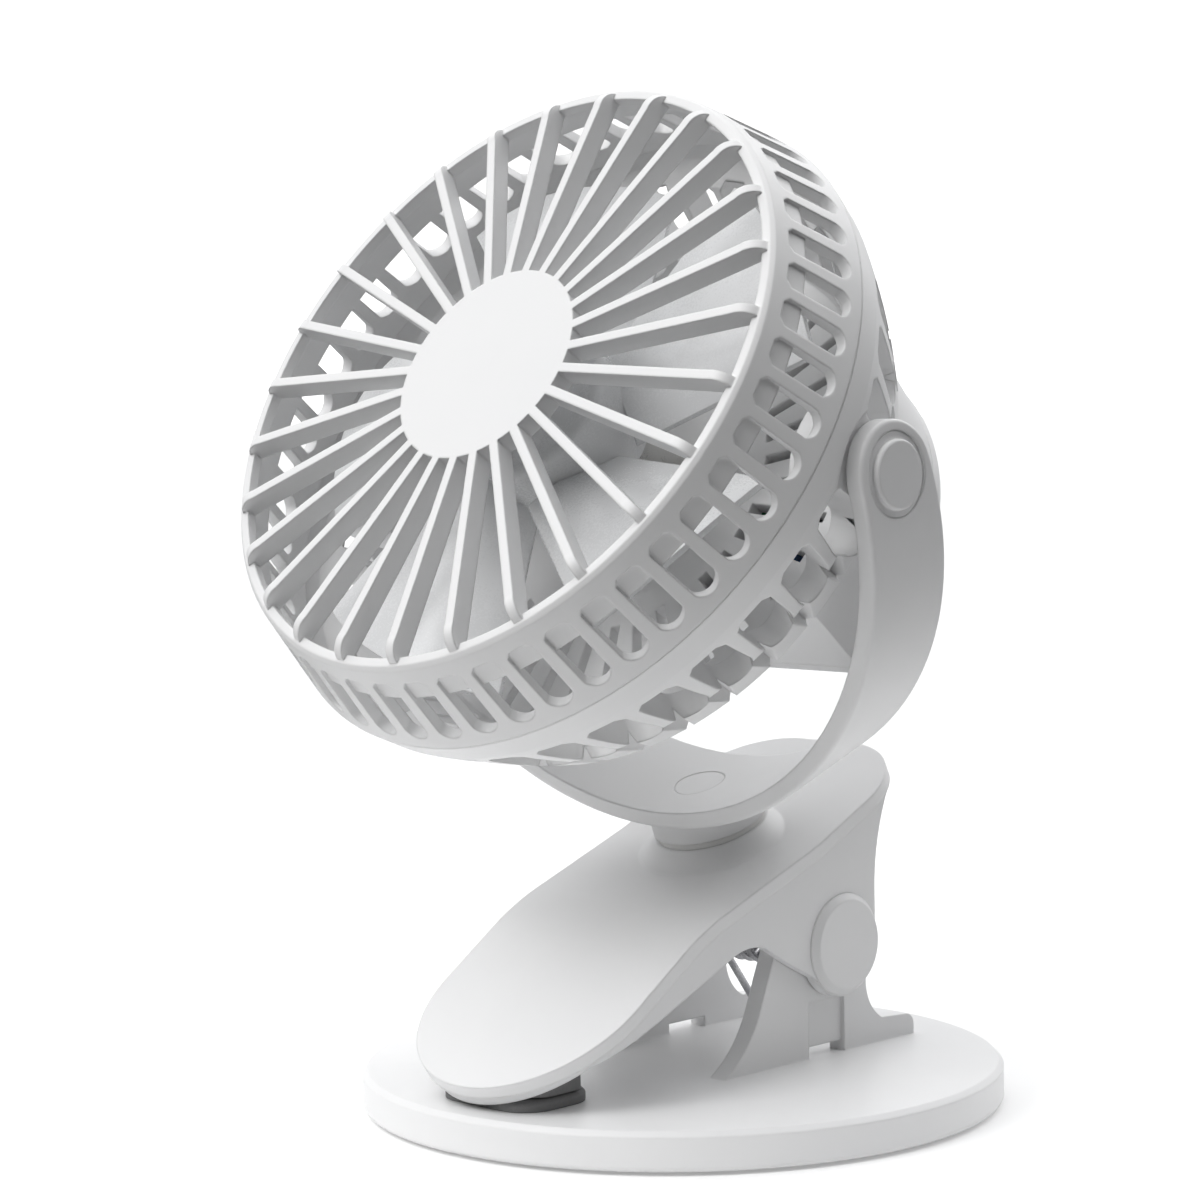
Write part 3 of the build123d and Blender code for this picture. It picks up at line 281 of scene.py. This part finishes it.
def combine(tree, kind, first, second):
    node = addNode(tree, "ShaderNodeMath", operation=kind)
    tree.links.new(first, node.inputs[0])
    tree.links.new(second, node.inputs[1])
    return node.outputs["Value"]


def blendColours(tree, share, first, second):
    mix = addNode(tree, "ShaderNodeMix", data_type="RGBA")
    for socket, colour in (("A", first), ("B", second)):
        if isinstance(colour, tuple):
            mix.inputs[socket].default_value = colour
        else:
            tree.links.new(colour, mix.inputs[socket])
    tree.links.new(share, mix.inputs["Factor"])
    return mix.outputs["Result"]


# 0 on a flat face, 1 on a rounded corner, where start and full are the turns at which it sets in and ends
def edgeShare(tree, roundedNormal, start=0.02, full=0.16):
    flat = addNode(tree, "ShaderNodeNewGeometry")
    facing = addNode(tree, "ShaderNodeVectorMath", operation="DOT_PRODUCT")
    tree.links.new(roundedNormal, facing.inputs[0])
    tree.links.new(flat.outputs["Normal"], facing.inputs[1])
    return between(tree, facing.outputs["Value"], 0, 1, 1 - start, 1 - full)


def setBump(tree, shader, height, strength, depth, underNormal=None):
    bump = addNode(tree, "ShaderNodeBump", Strength=strength, Distance=depth)
    tree.links.new(height, bump.inputs["Height"])
    if underNormal:
        tree.links.new(underNormal, bump.inputs["Normal"])
    tree.links.new(bump.outputs["Normal"], shader.inputs["Normal"])


def mouldedPlastic(name, spec):
    material, tree, shader = newFinish(name)
    space = objectSpace(tree)
    rounded = addNode(tree, "ShaderNodeBevel", samples=6, Radius=spec["edge"])
    edgeHighlightAndPolish = edgeShare(tree, rounded.outputs["Normal"])
    cloud = between(tree, noiseAt(tree, space, spec["cloudScale"]), 0, 1)
    body = blendColours(tree, cloud, spec["colour"], spec["shade"])
    # rounded edges are painted lighter as a painted highlight, and the same mask makes them less rough
    tree.links.new(blendColours(tree, edgeHighlightAndPolish, body, spec["edgeHighlightColour"]), shader.inputs["Base Color"])
    grain = noiseAt(tree, space, spec["grainScale"], detail=4, rough=0.6)
    smear = noiseAt(tree, space, spec["smearScale"], detail=4, rough=0.65)
    dull = combine(tree, "ADD", between(tree, grain, *spec["roughness"]),
                   between(tree, smear, *spec["smear"]))
    polish = between(tree, edgeHighlightAndPolish, 0, spec["edgePolish"], fromLow=0, fromHigh=1)
    tree.links.new(combine(tree, "SUBTRACT", dull, polish), shader.inputs["Roughness"])
    setBump(tree, shader, grain, spec["bump"], spec["grainDepth"], rounded.outputs["Normal"])
    shader.inputs["Specular IOR Level"].default_value = spec["gloss"]
    return material


casingSpec = {
    "colour": (0.800, 0.800, 0.800, 1),
    "shade": (0.772, 0.773, 0.777, 1),
    # painted highlight colour for rounded edges
    "edgeHighlightColour": (0.83, 0.83, 0.83, 1),
    "cloudScale": 22,
    "grainScale": 2400,
    "smearScale": 75,
    "roughness": (0.34, 0.46),
    "smear": (-0.03, 0.05),
    "edgePolish": 0.08,
    "edge": 0.0007,
    "bump": 0.16,
    "grainDepth": 0.00012,
    "gloss": 0.45,
}
bladeSpec = {
    **casingSpec,
    "colour": (0.79, 0.795, 0.80, 1),
    "shade": (0.75, 0.757, 0.765, 1),
    "roughness": (0.22, 0.30),
    "bump": 0.05,
    "edge": 0.0004,
}
buttonSpec = {
    **casingSpec,
    "colour": (0.77, 0.775, 0.785, 1),
    "shade": (0.75, 0.755, 0.765, 1),
    "roughness": (0.18, 0.24),
    "bump": 0.04,
    "edge": 0.0004,
}
bushSpec = {
    **casingSpec,
    "colour": (0.77, 0.767, 0.75, 1),
    "shade": (0.74, 0.735, 0.715, 1),
    "edgeHighlightColour": (0.80, 0.797, 0.78, 1),
    "roughness": (0.4, 0.5),
    "edge": 0.0002,
}
whitePlastic = mouldedPlastic("whitePlastic", casingSpec)
bladePlastic = mouldedPlastic("bladePlastic", bladeSpec)
buttonPlastic = mouldedPlastic("buttonPlastic", buttonSpec)
bushPlastic = mouldedPlastic("bushPlastic", bushSpec)


rubberSpec = {
    "colour": (0.185, 0.185, 0.187, 1),
    "dustAndEdgeHighlight": (0.245, 0.245, 0.245, 1),  # pale dust that rubber shows, and a painted highlight along its rounded edges
    "dustScale": 55,
    "dustShows": (0.42, 0.72),
    "grainScale": 1900,
    "roughness": (0.66, 0.84),
    "edge": 0.0005,
    "bump": 0.35,
    "grainDepth": 0.0001,
    "gloss": 0.3,
}


def greyRubber(name, spec):
    material, tree, shader = newFinish(name)
    space = objectSpace(tree)
    rounded = addNode(tree, "ShaderNodeBevel", samples=6, Radius=spec["edge"])
    grain = noiseAt(tree, space, spec["grainScale"], detail=5, rough=0.65)
    patches = noiseAt(tree, space, spec["dustScale"], detail=5)
    dust = combine(tree, "MULTIPLY", between(tree, patches, 0, 1, *spec["dustShows"]),
                   between(tree, grain, 0.3, 1))
    # dust patches, plus rounded edges painted pale as a painted highlight
    dustAndEdgeHighlight = combine(tree, "MAXIMUM", dust, edgeShare(tree, rounded.outputs["Normal"]))
    tree.links.new(blendColours(tree, dustAndEdgeHighlight, spec["colour"], spec["dustAndEdgeHighlight"]), shader.inputs["Base Color"])
    tree.links.new(between(tree, grain, *spec["roughness"]), shader.inputs["Roughness"])
    setBump(tree, shader, grain, spec["bump"], spec["grainDepth"], rounded.outputs["Normal"])
    shader.inputs["Specular IOR Level"].default_value = spec["gloss"]
    return material


darkRubber = greyRubber("darkRubber", rubberSpec)


platedSpec = {
    "colour": (0.60, 0.60, 0.60, 1),
    "shade": (0.47, 0.47, 0.485, 1),
    "stretch": (1, 1, 1),
    "cloudScale": 160,
    "scratchScale": 1500,
    "roughness": (0.24, 0.40),
    "bump": 0.10,
    "scratchDepth": 0.00005,
    "edge": 0.00015,
}
drawnWireSpec = {
    **platedSpec,
    "colour": (0.50, 0.50, 0.51, 1),
    "shade": (0.34, 0.34, 0.36, 1),
    "stretch": (0.15, 1, 1),
    "roughness": (0.20, 0.34),
}
motorSteelSpec = {
    **platedSpec,
    "colour": (0.64, 0.635, 0.62, 1),
    "shade": (0.53, 0.525, 0.51, 1),
    "stretch": (1, 0.25, 0.25),
}


def bareMetal(name, spec):
    material, tree, shader = newFinish(name)
    space = objectSpace(tree, spec["stretch"])
    rounded = addNode(tree, "ShaderNodeBevel", samples=4, Radius=spec["edge"])
    cloud = between(tree, noiseAt(tree, space, spec["cloudScale"], detail=5), 0, 1)
    tree.links.new(blendColours(tree, cloud, spec["colour"], spec["shade"]), shader.inputs["Base Color"])
    scratch = noiseAt(tree, space, spec["scratchScale"], detail=6, rough=0.7)
    tree.links.new(between(tree, scratch, *spec["roughness"]), shader.inputs["Roughness"])
    setBump(tree, shader, scratch, spec["bump"], spec["scratchDepth"], rounded.outputs["Normal"])
    shader.inputs["Metallic"].default_value = 1.0
    return material


platedSteel = bareMetal("platedSteel", platedSpec)
drawnWire = bareMetal("drawnWire", drawnWireSpec)
motorSteel = bareMetal("motorSteel", motorSteelSpec)


wrapSpec = {
    "colour": (0.05, 0.17, 0.40, 1),
    "shade": (0.035, 0.12, 0.31, 1),
    "wrinkleScale": 220,
    "stretch": (0.3, 1, 1),
    "roughness": (0.20, 0.34),
    "bump": 0.25,
    "wrinkleDepth": 0.0002,
    "coat": 0.4,
}


def shrinkWrap(name, spec):
    material, tree, shader = newFinish(name)
    wrinkle = noiseAt(tree, objectSpace(tree, spec["stretch"]), spec["wrinkleScale"], detail=4)
    share = between(tree, wrinkle, 0, 1)
    tree.links.new(blendColours(tree, share, spec["colour"], spec["shade"]), shader.inputs["Base Color"])
    tree.links.new(between(tree, wrinkle, *spec["roughness"]), shader.inputs["Roughness"])
    setBump(tree, shader, wrinkle, spec["bump"], spec["wrinkleDepth"])
    shader.inputs["Coat Weight"].default_value = spec["coat"]
    return material


cellWrap = shrinkWrap("cellWrap", wrapSpec)


boardSpec = {
    "mask": (0.012, 0.16, 0.065, 1),
    "overCopper": (0.03, 0.27, 0.11, 1),
    "trackScale": 420,
    "trackStretch": (1, 0.35, 1),
    "trackScatter": 0.35,
    "trackEdge": (0.10, 0.16),
    "bump": 0.3,
    "trackHeight": 0.00004,
    "roughness": 0.28,
    "coat": 0.5,
}


def lacqueredBoard(name, spec):
    material, tree, shader = newFinish(name)
    tracks = addNode(tree, "ShaderNodeTexVoronoi", Scale=spec["trackScale"], Randomness=spec["trackScatter"],
                     feature="DISTANCE_TO_EDGE")
    tree.links.new(objectSpace(tree, spec["trackStretch"]), tracks.inputs["Vector"])
    track = between(tree, tracks.outputs["Distance"], 1, 0, *spec["trackEdge"])
    tree.links.new(blendColours(tree, track, spec["mask"], spec["overCopper"]), shader.inputs["Base Color"])
    setBump(tree, shader, track, spec["bump"], spec["trackHeight"])
    shader.inputs["Roughness"].default_value = spec["roughness"]
    shader.inputs["Coat Weight"].default_value = spec["coat"]
    return material


boardGreen = lacqueredBoard("boardGreen", boardSpec)


lensSpec = {
    "colour": (0.86, 0.90, 0.93, 1),
    "milk": (0.93, 0.95, 0.96, 1),
    "cloudScale": 900,
    "roughness": (0.10, 0.20),
    "clear": 0.55,
}


def clearLens(name, spec):
    material, tree, shader = newFinish(name)
    cloud = between(tree, noiseAt(tree, objectSpace(tree), spec["cloudScale"]), 0, 1)
    tree.links.new(blendColours(tree, cloud, spec["colour"], spec["milk"]), shader.inputs["Base Color"])
    tree.links.new(between(tree, cloud, *spec["roughness"], fromLow=0, fromHigh=1),
                   shader.inputs["Roughness"])
    shader.inputs["Transmission Weight"].default_value = spec["clear"]
    return material


lensClear = clearLens("lensClear", lensSpec)

slotFinishes = {
    "white_plastic": whitePlastic,
    "blade_plastic": bladePlastic,
    "button_plastic": buttonPlastic,
    "bush_plastic": bushPlastic,
    "dark_rubber": darkRubber,
    "steel": platedSteel,
    "spring_steel": drawnWire,
    "cell_wrap": cellWrap,
    "board_green": boardGreen,
    "lens_clear": lensClear,
}
nodeFinishes = {"motor_can": motorSteel}
for part in record["subparts"]:
    node = nodes[part["node"]]
    finish = nodeFinishes.get(part["node"], slotFinishes[part["material_slot"]])
    node.data.materials.clear()
    node.data.materials.append(finish)
print("finishes set:", len(slotFinishes) + len(nodeFinishes))


# directions and places that the pieces below are built on, taken from the joints
rightward = Vector((1, 0, 0))
headPivot = Vector(jointOf["head_tilt"]["pos_m"])
fanFront = Vector(jointOf["rotor_spin"]["axis"])
fanUp = fanFront.cross(rightward)
swivelUp = Vector(jointOf["yoke_swivel"]["axis"])
hingeSpot = Vector(jointOf["clip_hinge"]["pos_m"])


def frameAt(place, first, second, third):
    return Matrix.Translation(place) @ Matrix((first, second, third)).transposed().to_4x4()


# seen from behind the fan: x to the right, y up its back, z out of its back
headFrame = frameAt(headPivot, -rightward, fanUp, -fanFront)


sharpAngle = math.radians(34)  # edges that turn more than this stay crisp


def finishPiece(name, bm, body, slotName, finish, *replaced):
    bmesh.ops.remove_doubles(bm, verts=bm.verts[:], dist=1e-6)
    bmesh.ops.recalc_face_normals(bm, faces=bm.faces[:])
    mesh = bpy.data.meshes.new(name)
    bm.to_mesh(mesh)
    bm.free()
    mesh.shade_smooth()
    mesh.set_sharp_from_angle(angle=sharpAngle)
    mesh.materials.append(finish)
    piece = bpy.data.objects.new(name, mesh)
    bpy.context.scene.collection.objects.link(piece)
    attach(piece, body)
    if replaced:
        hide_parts(*replaced)
    print("piece:", name)


def vertsOf(geom):
    return [g for g in geom if isinstance(g, bmesh.types.BMVert)]


def edgesOf(geom):
    return [g for g in geom if isinstance(g, bmesh.types.BMEdge)]


# these three keep the order they find, so that every run numbers its points alike
def vertsAlong(parts):
    return list(dict.fromkeys(vert for part in parts for vert in part.verts))


def edgesRound(faces):
    return list(dict.fromkeys(edge for face in faces for edge in face.edges))


def edgesAt(verts):
    return list(dict.fromkeys(edge for vert in verts for edge in vert.link_edges))


def pullEdges(bm, edges, move):
    pulled = bmesh.ops.extrude_edge_only(bm, edges=edges)["geom"]
    bmesh.ops.translate(bm, verts=vertsOf(pulled), vec=move)
    return edgesOf(pulled)


def closeLoop(bm, edges, soften):
    bmesh.ops.contextual_create(bm, geom=edges)
    bmesh.ops.bevel(bm, geom=edges, offset=soften, segments=3, profile=0.5, affect="EDGES", material=-1)


springSpec = {
    "wireRadius": 0.0008,
    "coilRadius": 0.0056,
    "pitch": 0.0026,
    "turns": 4,
    "stepsPerTurn": 36,
    "wireSides": 16,
    "baseLegSlope": 50,  # the fixed leg runs down and back to the base
    "baseTop": 0.0084,
    "jawLegSlope": 60,  # the moving leg runs up and back to the jaw's tail
    "jawLegLength": 0.0266,
    "jawLegTurns": 0.5,
    "sideGap": 0.0003,
    "cutEdge": 0.0002,
}


def coilHeading(spec, angle):
    around = math.tau * spec["coilRadius"]
    return Vector((spec["pitch"], around * math.sin(angle), -around * math.cos(angle))).normalized()


# winds wire round the hinge axis and returns its first and last rings of edges and where it starts
def windWire(bm, spec, left, firstAngle, turns):
    start = Vector((left, hingeSpot.y + spec["coilRadius"] * math.cos(firstAngle),
                    hingeSpot.z + spec["coilRadius"] * math.sin(firstAngle)))
    heading = coilHeading(spec, firstAngle)
    turned = Vector((0, 0, 1)).rotation_difference(heading).to_matrix().to_4x4()
    bmesh.ops.create_circle(bm, segments=spec["wireSides"], radius=spec["wireRadius"],
                            matrix=Matrix.Translation(start) @ turned)
    firstRing = bm.edges[:]
    steps = round(turns * spec["stepsPerTurn"])
    wound = bmesh.ops.spin(bm, geom=bm.verts[:] + firstRing, cent=hingeSpot, axis=(-1, 0, 0),
                           angle=math.tau * turns, steps=steps,
                           dvec=(spec["pitch"] * turns / steps, 0, 0))["geom_last"]
    return firstRing, edgesOf(wound), start


def makeSpring(spec):
    coilLeft = -spec["turns"] * spec["pitch"] / 2
    coilStart = math.radians(-90 - spec["baseLegSlope"])
    bm = bmesh.new()
    firstRing, lastRing, entry = windWire(bm, spec, coilLeft, coilStart, spec["turns"])
    heading = coilHeading(spec, coilStart)
    drop = entry.z - spec["baseTop"] - spec["wireRadius"]
    footRing = pullEdges(bm, firstRing, -heading * (drop / heading.z))
    closeLoop(bm, footRing, spec["cutEdge"])
    closeLoop(bm, lastRing, spec["cutEdge"])
    finishPiece("springCoil", bm, "base", "spring_steel", drawnWire, "torsion_spring")

    legEnd = 90 + spec["jawLegSlope"]
    legStart = legEnd + 360 * spec["jawLegTurns"]
    lag = (legStart + 90 + spec["baseLegSlope"]) % 360 / 360
    legLeft = -coilLeft - spec["pitch"] * lag + 2 * spec["wireRadius"] + spec["sideGap"]
    bm = bmesh.new()
    firstRing, lastRing, _ = windWire(bm, spec, legLeft, math.radians(legStart), spec["jawLegTurns"])
    tipRing = pullEdges(bm, lastRing, coilHeading(spec, math.radians(legEnd)) * spec["jawLegLength"])
    closeLoop(bm, firstRing, spec["cutEdge"])
    closeLoop(bm, tipRing, spec["cutEdge"])
    finishPiece("springArm", bm, "jaw", "spring_steel", drawnWire, "spring_leg")


makeSpring(springSpec)


matSpec = {
    "radius": 0.057,
    "thickness": 0.0016,
    "edge": 0.0004,
    "ringRadii": (0.053, 0.047, 0.041, 0.035),  # grip grooves round the underside
    "ringWidth": 0.0016,
    "ringDepth": 0.0004,
    "steps": 120,
}


def makeMat(spec):
    points = [(0, spec["thickness"]), (spec["radius"], spec["thickness"]), (spec["radius"], spec["edge"]),
              (spec["radius"] - spec["edge"], 0)]
    for ring in spec["ringRadii"]:
        outer, inner = ring + spec["ringWidth"] / 2, ring - spec["ringWidth"] / 2
        slant = spec["ringDepth"] / 2
        points += [(outer, 0), (outer - slant, spec["ringDepth"]), (inner + slant, spec["ringDepth"]),
                   (inner, 0)]
    points.append((0, 0))
    bm = bmesh.new()
    turnProfile(bm, points, spec["steps"])
    finishPiece("gripMat", bm, "base", "dark_rubber", darkRubber, "base_mat")


makeMat(matSpec)


padSpec = {
    "border": 0.0016,
    "ribPitch": 0.0020,
    "grooveWidth": 0.0007,
    "grooveDepth": 0.0004,
    "soften": 0.0002,
    "softenSteps": 2,
    "flatTurn": 2,  # facets that turn less than this, in degrees, are one face
    "cornerTurn": 25,  # edges that turn more than this, in degrees, are softened
    "facing": 0.99,  # how squarely the grip face looks up or down
}


# copies a pad's own outline and cuts grip grooves across the face that points the given way
def makePad(name, nodeName, body, way, spec):
    bm = bmesh.new()
    bm.from_mesh(nodes[nodeName].data)
    bmesh.ops.remove_doubles(bm, verts=bm.verts[:], dist=1e-6)
    bmesh.ops.dissolve_limit(bm, angle_limit=math.radians(spec["flatTurn"]), verts=bm.verts[:],
                             edges=bm.edges[:])
    rim = [edge for edge in bm.edges if edge.calc_face_angle(0) > math.radians(spec["cornerTurn"])]
    bmesh.ops.bevel(bm, geom=rim, offset=spec["soften"], segments=spec["softenSteps"], profile=0.5,
                    affect="EDGES", material=-1)
    level = [face for face in bm.faces if face.normal.z * way > spec["facing"]]
    grip = max(level, key=lambda face: face.calc_area())
    bmesh.ops.inset_region(bm, faces=[grip], thickness=spec["border"])
    grip.material_index = 1  # marks the ribbed field while it is cut
    reach = [vert.co.y for vert in grip.verts]
    count = int((max(reach) - min(reach)) / spec["ribPitch"])
    middle = (max(reach) + min(reach)) / 2
    lines = [middle + (index - (count - 1) / 2) * spec["ribPitch"] for index in range(count)]
    for line in lines:
        for edgeOf in (-1, 1):
            field = [face for face in bm.faces if face.material_index == 1]
            around = edgesRound(field) + vertsAlong(field)
            bmesh.ops.bisect_plane(bm, geom=field + around, dist=1e-7, plane_no=(0, 1, 0),
                                   plane_co=(0, line + edgeOf * spec["grooveWidth"] / 2, 0))
    grooves = [face for face in bm.faces if face.material_index == 1
               and min(abs(face.calc_center_median().y - line) for line in lines) < spec["grooveWidth"] / 4]
    # with their edges handed over too, the old faces go and no skin is left over the grooves
    sunk = bmesh.ops.extrude_face_region(bm, geom=grooves + edgesRound(grooves))["geom"]
    bmesh.ops.translate(bm, verts=vertsOf(sunk), vec=(0, 0, -way * spec["grooveDepth"]))
    for face in bm.faces:
        face.material_index = 0
    finishPiece(name, bm, body, "dark_rubber", darkRubber, nodeName)


makePad("basePad", "lower_jaw_pad", "base", 1, padSpec)
makePad("nosePad", "upper_jaw_pad", "jaw", -1, padSpec)


crossTaper = 0.55  # the recess's floor, as a share of its mouth
tipRound = 0.25  # rounding of a screw's end, as a share of its radius


# a round-headed screw with a cross recess, its head's top at local z 0 and its shank below
def addCrossScrew(bm, spec, place):
    before = set(bm.verts)
    arm, web = spec["crossReach"], spec["crossWidth"] / 2
    corners = [(arm, -web), (arm, web), (web, web), (web, arm), (-web, arm), (-web, web),
               (-arm, web), (-arm, -web), (-web, -web), (-web, -arm), (web, -arm), (web, -web)]
    cross = [bm.verts.new((x, y, 0)) for x, y in corners]
    crossEdges = [bm.edges.new((cross[k - 1], cross[k])) for k in range(len(cross))]
    rim = bmesh.ops.create_circle(bm, segments=spec["sides"], radius=spec["headRadius"])["verts"]
    rimEdges = edgesAt(rim)
    bmesh.ops.bridge_loops(bm, edges=crossEdges + rimEdges)
    floor = pullEdges(bm, crossEdges, (0, 0, -spec["crossDepth"]))
    bmesh.ops.scale(bm, verts=vertsAlong(floor), vec=(crossTaper, crossTaper, 1))
    bmesh.ops.contextual_create(bm, geom=floor)
    skirt = pullEdges(bm, rimEdges, (0, 0, -spec["headHeight"]))
    seat = pullEdges(bm, skirt, (0, 0, 0))
    shrink = spec["shankRadius"] / spec["headRadius"]
    bmesh.ops.scale(bm, verts=vertsAlong(seat), vec=(shrink, shrink, 1))
    tip = pullEdges(bm, seat, (0, 0, -spec["shankLength"]))
    closeLoop(bm, tip, spec["shankRadius"] * tipRound)
    bmesh.ops.bevel(bm, geom=[e for e in rimEdges if e.is_valid], offset=spec["headRound"], segments=4,
                    profile=0.5, affect="EDGES", material=-1)
    added = [vert for vert in bm.verts if vert not in before]
    bmesh.ops.transform(bm, matrix=place, verts=added)


coverScrewSpec = {
    "circle": 0.044,
    "angles": (16, 60, 120, 164),
    "depth": 0.0433,  # head's top behind the tilt axis
    "headRadius": 0.0026,
    "headHeight": 0.0015,
    "headRound": 0.0007,
    "shankRadius": 0.0013,
    "shankLength": 0.0316,
    "crossReach": 0.0014,
    "crossWidth": 0.0006,
    "crossDepth": 0.0009,
    "sides": 32,
}
swivelScrewSpec = {
    "drop": 0.0702,  # head's top below the tilt axis, along the swivel
    "seatToTop": 0.0122,
    "headRadius": 0.0052,
    "headHeight": 0.0018,
    "headRound": 0.0009,
    "shankRadius": 0.0030,
    "shankLength": 0.0205,
    "crossReach": 0.0026,
    "crossWidth": 0.0010,
    "crossDepth": 0.0013,
    "sides": 40,
}


def makeScrews():
    bm = bmesh.new()
    for angle in coverScrewSpec["angles"]:
        turn = math.radians(angle)
        spot = Vector((math.cos(turn), math.sin(turn), 0)) * coverScrewSpec["circle"]
        spot.z = coverScrewSpec["depth"]
        skew = Matrix.Rotation(3 * turn, 4, "Z")  # no two screws stop at the same turn
        addCrossScrew(bm, coverScrewSpec, headFrame @ Matrix.Translation(spot) @ skew)
    finishPiece("coverScrews", bm, "head", "steel", platedSteel, "housing_screws")

    bm = bmesh.new()
    across = swivelUp.cross(rightward)
    top = headPivot - swivelUp * swivelScrewSpec["drop"]
    addCrossScrew(bm, swivelScrewSpec, frameAt(top, rightward, across, swivelUp))
    finishPiece("swivelBolt", bm, "yoke", "steel", platedSteel, "swivel_screw")


makeScrews()


plugSpec = {
    "top": 0.01286,  # above the swivel's seat, flush with the band
    "thickness": 0.0006,
    "radius": 0.00537,
    "bandRadius": 0.0695,
    "rings": 4,  # rings of faces, so that it can bend
    "steps": 64,
}


# the white plug that hides the swivel's screw, bent to the band's curve
def makePlug(spec):
    bottom = spec["top"] - spec["thickness"]
    radii = [spec["radius"] * ring / spec["rings"] for ring in range(spec["rings"] + 1)]
    points = [(radius, spec["top"]) for radius in radii] + [(radius, bottom) for radius in reversed(radii)]
    bm = bmesh.new()
    turnProfile(bm, points, spec["steps"])
    for vert in bm.verts:
        vert.co.z += vert.co.x ** 2 / (2 * spec["bandRadius"])
    seat = headPivot - swivelUp * (swivelScrewSpec["drop"] + swivelScrewSpec["seatToTop"])
    bmesh.ops.transform(bm, matrix=frameAt(seat, rightward, swivelUp.cross(rightward), swivelUp),
                        verts=bm.verts[:])
    finishPiece("swivelPlug", bm, "yoke", "white_plastic", whitePlastic)


makePlug(plugSpec)


buttonShape = {
    "up": 0.014,  # above the fan's axis
    "top": 0.0446,  # behind the tilt axis
    "radius": 0.0065,
    "dish": 0.0004,
    "dishRings": (0.3, 0.55, 0.75, 0.9, 1.0),  # shares of the dish's radius
    "round": 0.0007,
    "flangeTop": 0.0413,
    "flangeRadius": 0.0077,
    "flangeHeight": 0.0009,
    "stemRadius": 0.0015,
    "stemEnd": 0.0387,
    "steps": 72,
}


def makeButton(spec):
    dishRadius = spec["radius"] - 2 * spec["round"]
    points = [(0, spec["top"] - spec["dish"])]
    for share in spec["dishRings"]:
        points.append((dishRadius * share, spec["top"] - spec["dish"] * (1 - share ** 2)))
    for angle in range(0, 91, 15):
        turn = math.radians(angle)
        points.append((spec["radius"] - spec["round"] * (1 - math.sin(turn)),
                       spec["top"] - spec["round"] * (1 - math.cos(turn))))
    flangeBottom = spec["flangeTop"] - spec["flangeHeight"]
    points += [(spec["radius"], spec["flangeTop"]), (spec["flangeRadius"], spec["flangeTop"]),
               (spec["flangeRadius"], flangeBottom), (spec["stemRadius"], flangeBottom),
               (spec["stemRadius"], spec["stemEnd"]), (0, spec["stemEnd"])]
    bm = bmesh.new()
    turnProfile(bm, points, spec["steps"])
    bmesh.ops.transform(bm, matrix=headFrame @ Matrix.Translation((0, spec["up"], 0)), verts=bm.verts[:])
    finishPiece("pushButton", bm, "button", "button_plastic", buttonPlastic, "power_button")


makeButton(buttonShape)


portSpec = {
    "down": -0.011,
    "floor": 0.0376,
    "tongueSize": (0.0058, 0.0007, 0.0048),
    "tongueEdge": 0.00012,
    "contactCount": 6,
    "contactSize": (0.00042, 0.00006, 0.0036),
    "contactPitch": 0.0009,
    "contactStart": 0.0008,
}
portPlastic = mouldedPlastic("portPlastic", {
    **casingSpec,
    "colour": (0.035, 0.035, 0.037, 1),
    "shade": (0.028, 0.028, 0.030, 1),
    "edgeHighlightColour": (0.05, 0.05, 0.05, 1),
    "edge": 0.0001,
})
contactGold = bareMetal("contactGold", {
    **platedSpec,
    "colour": (0.83, 0.62, 0.28, 1),
    "shade": (0.72, 0.52, 0.22, 1),
    "edge": 0.00002,
})


def addBlock(bm, middle, size):
    cube = bmesh.ops.create_cube(bm, size=1)["verts"]
    bmesh.ops.scale(bm, verts=cube, vec=size)
    bmesh.ops.translate(bm, verts=cube, vec=middle)
    return edgesAt(cube)


def makePort(spec):
    height, length = spec["tongueSize"][1:]
    bm = bmesh.new()
    edges = addBlock(bm, (0, spec["down"], spec["floor"] + length / 2), spec["tongueSize"])
    bmesh.ops.bevel(bm, geom=edges, offset=spec["tongueEdge"], segments=2, profile=0.5, affect="EDGES",
                    material=-1)
    bmesh.ops.transform(bm, matrix=headFrame, verts=bm.verts[:])
    finishPiece("portTongue", bm, "head", "button_plastic", portPlastic)

    bm = bmesh.new()
    for side in (-1, 1):
        for index in range(spec["contactCount"]):
            x = (index - (spec["contactCount"] - 1) / 2) * spec["contactPitch"]
            y = spec["down"] + side * (height + spec["contactSize"][1]) / 2
            z = spec["floor"] + spec["contactStart"] + spec["contactSize"][2] / 2
            addBlock(bm, (x, y, z), spec["contactSize"])
    bmesh.ops.transform(bm, matrix=headFrame, verts=bm.verts[:])
    finishPiece("portContacts", bm, "head", "steel", contactGold)


makePort(portSpec)
print("detailed pieces made")
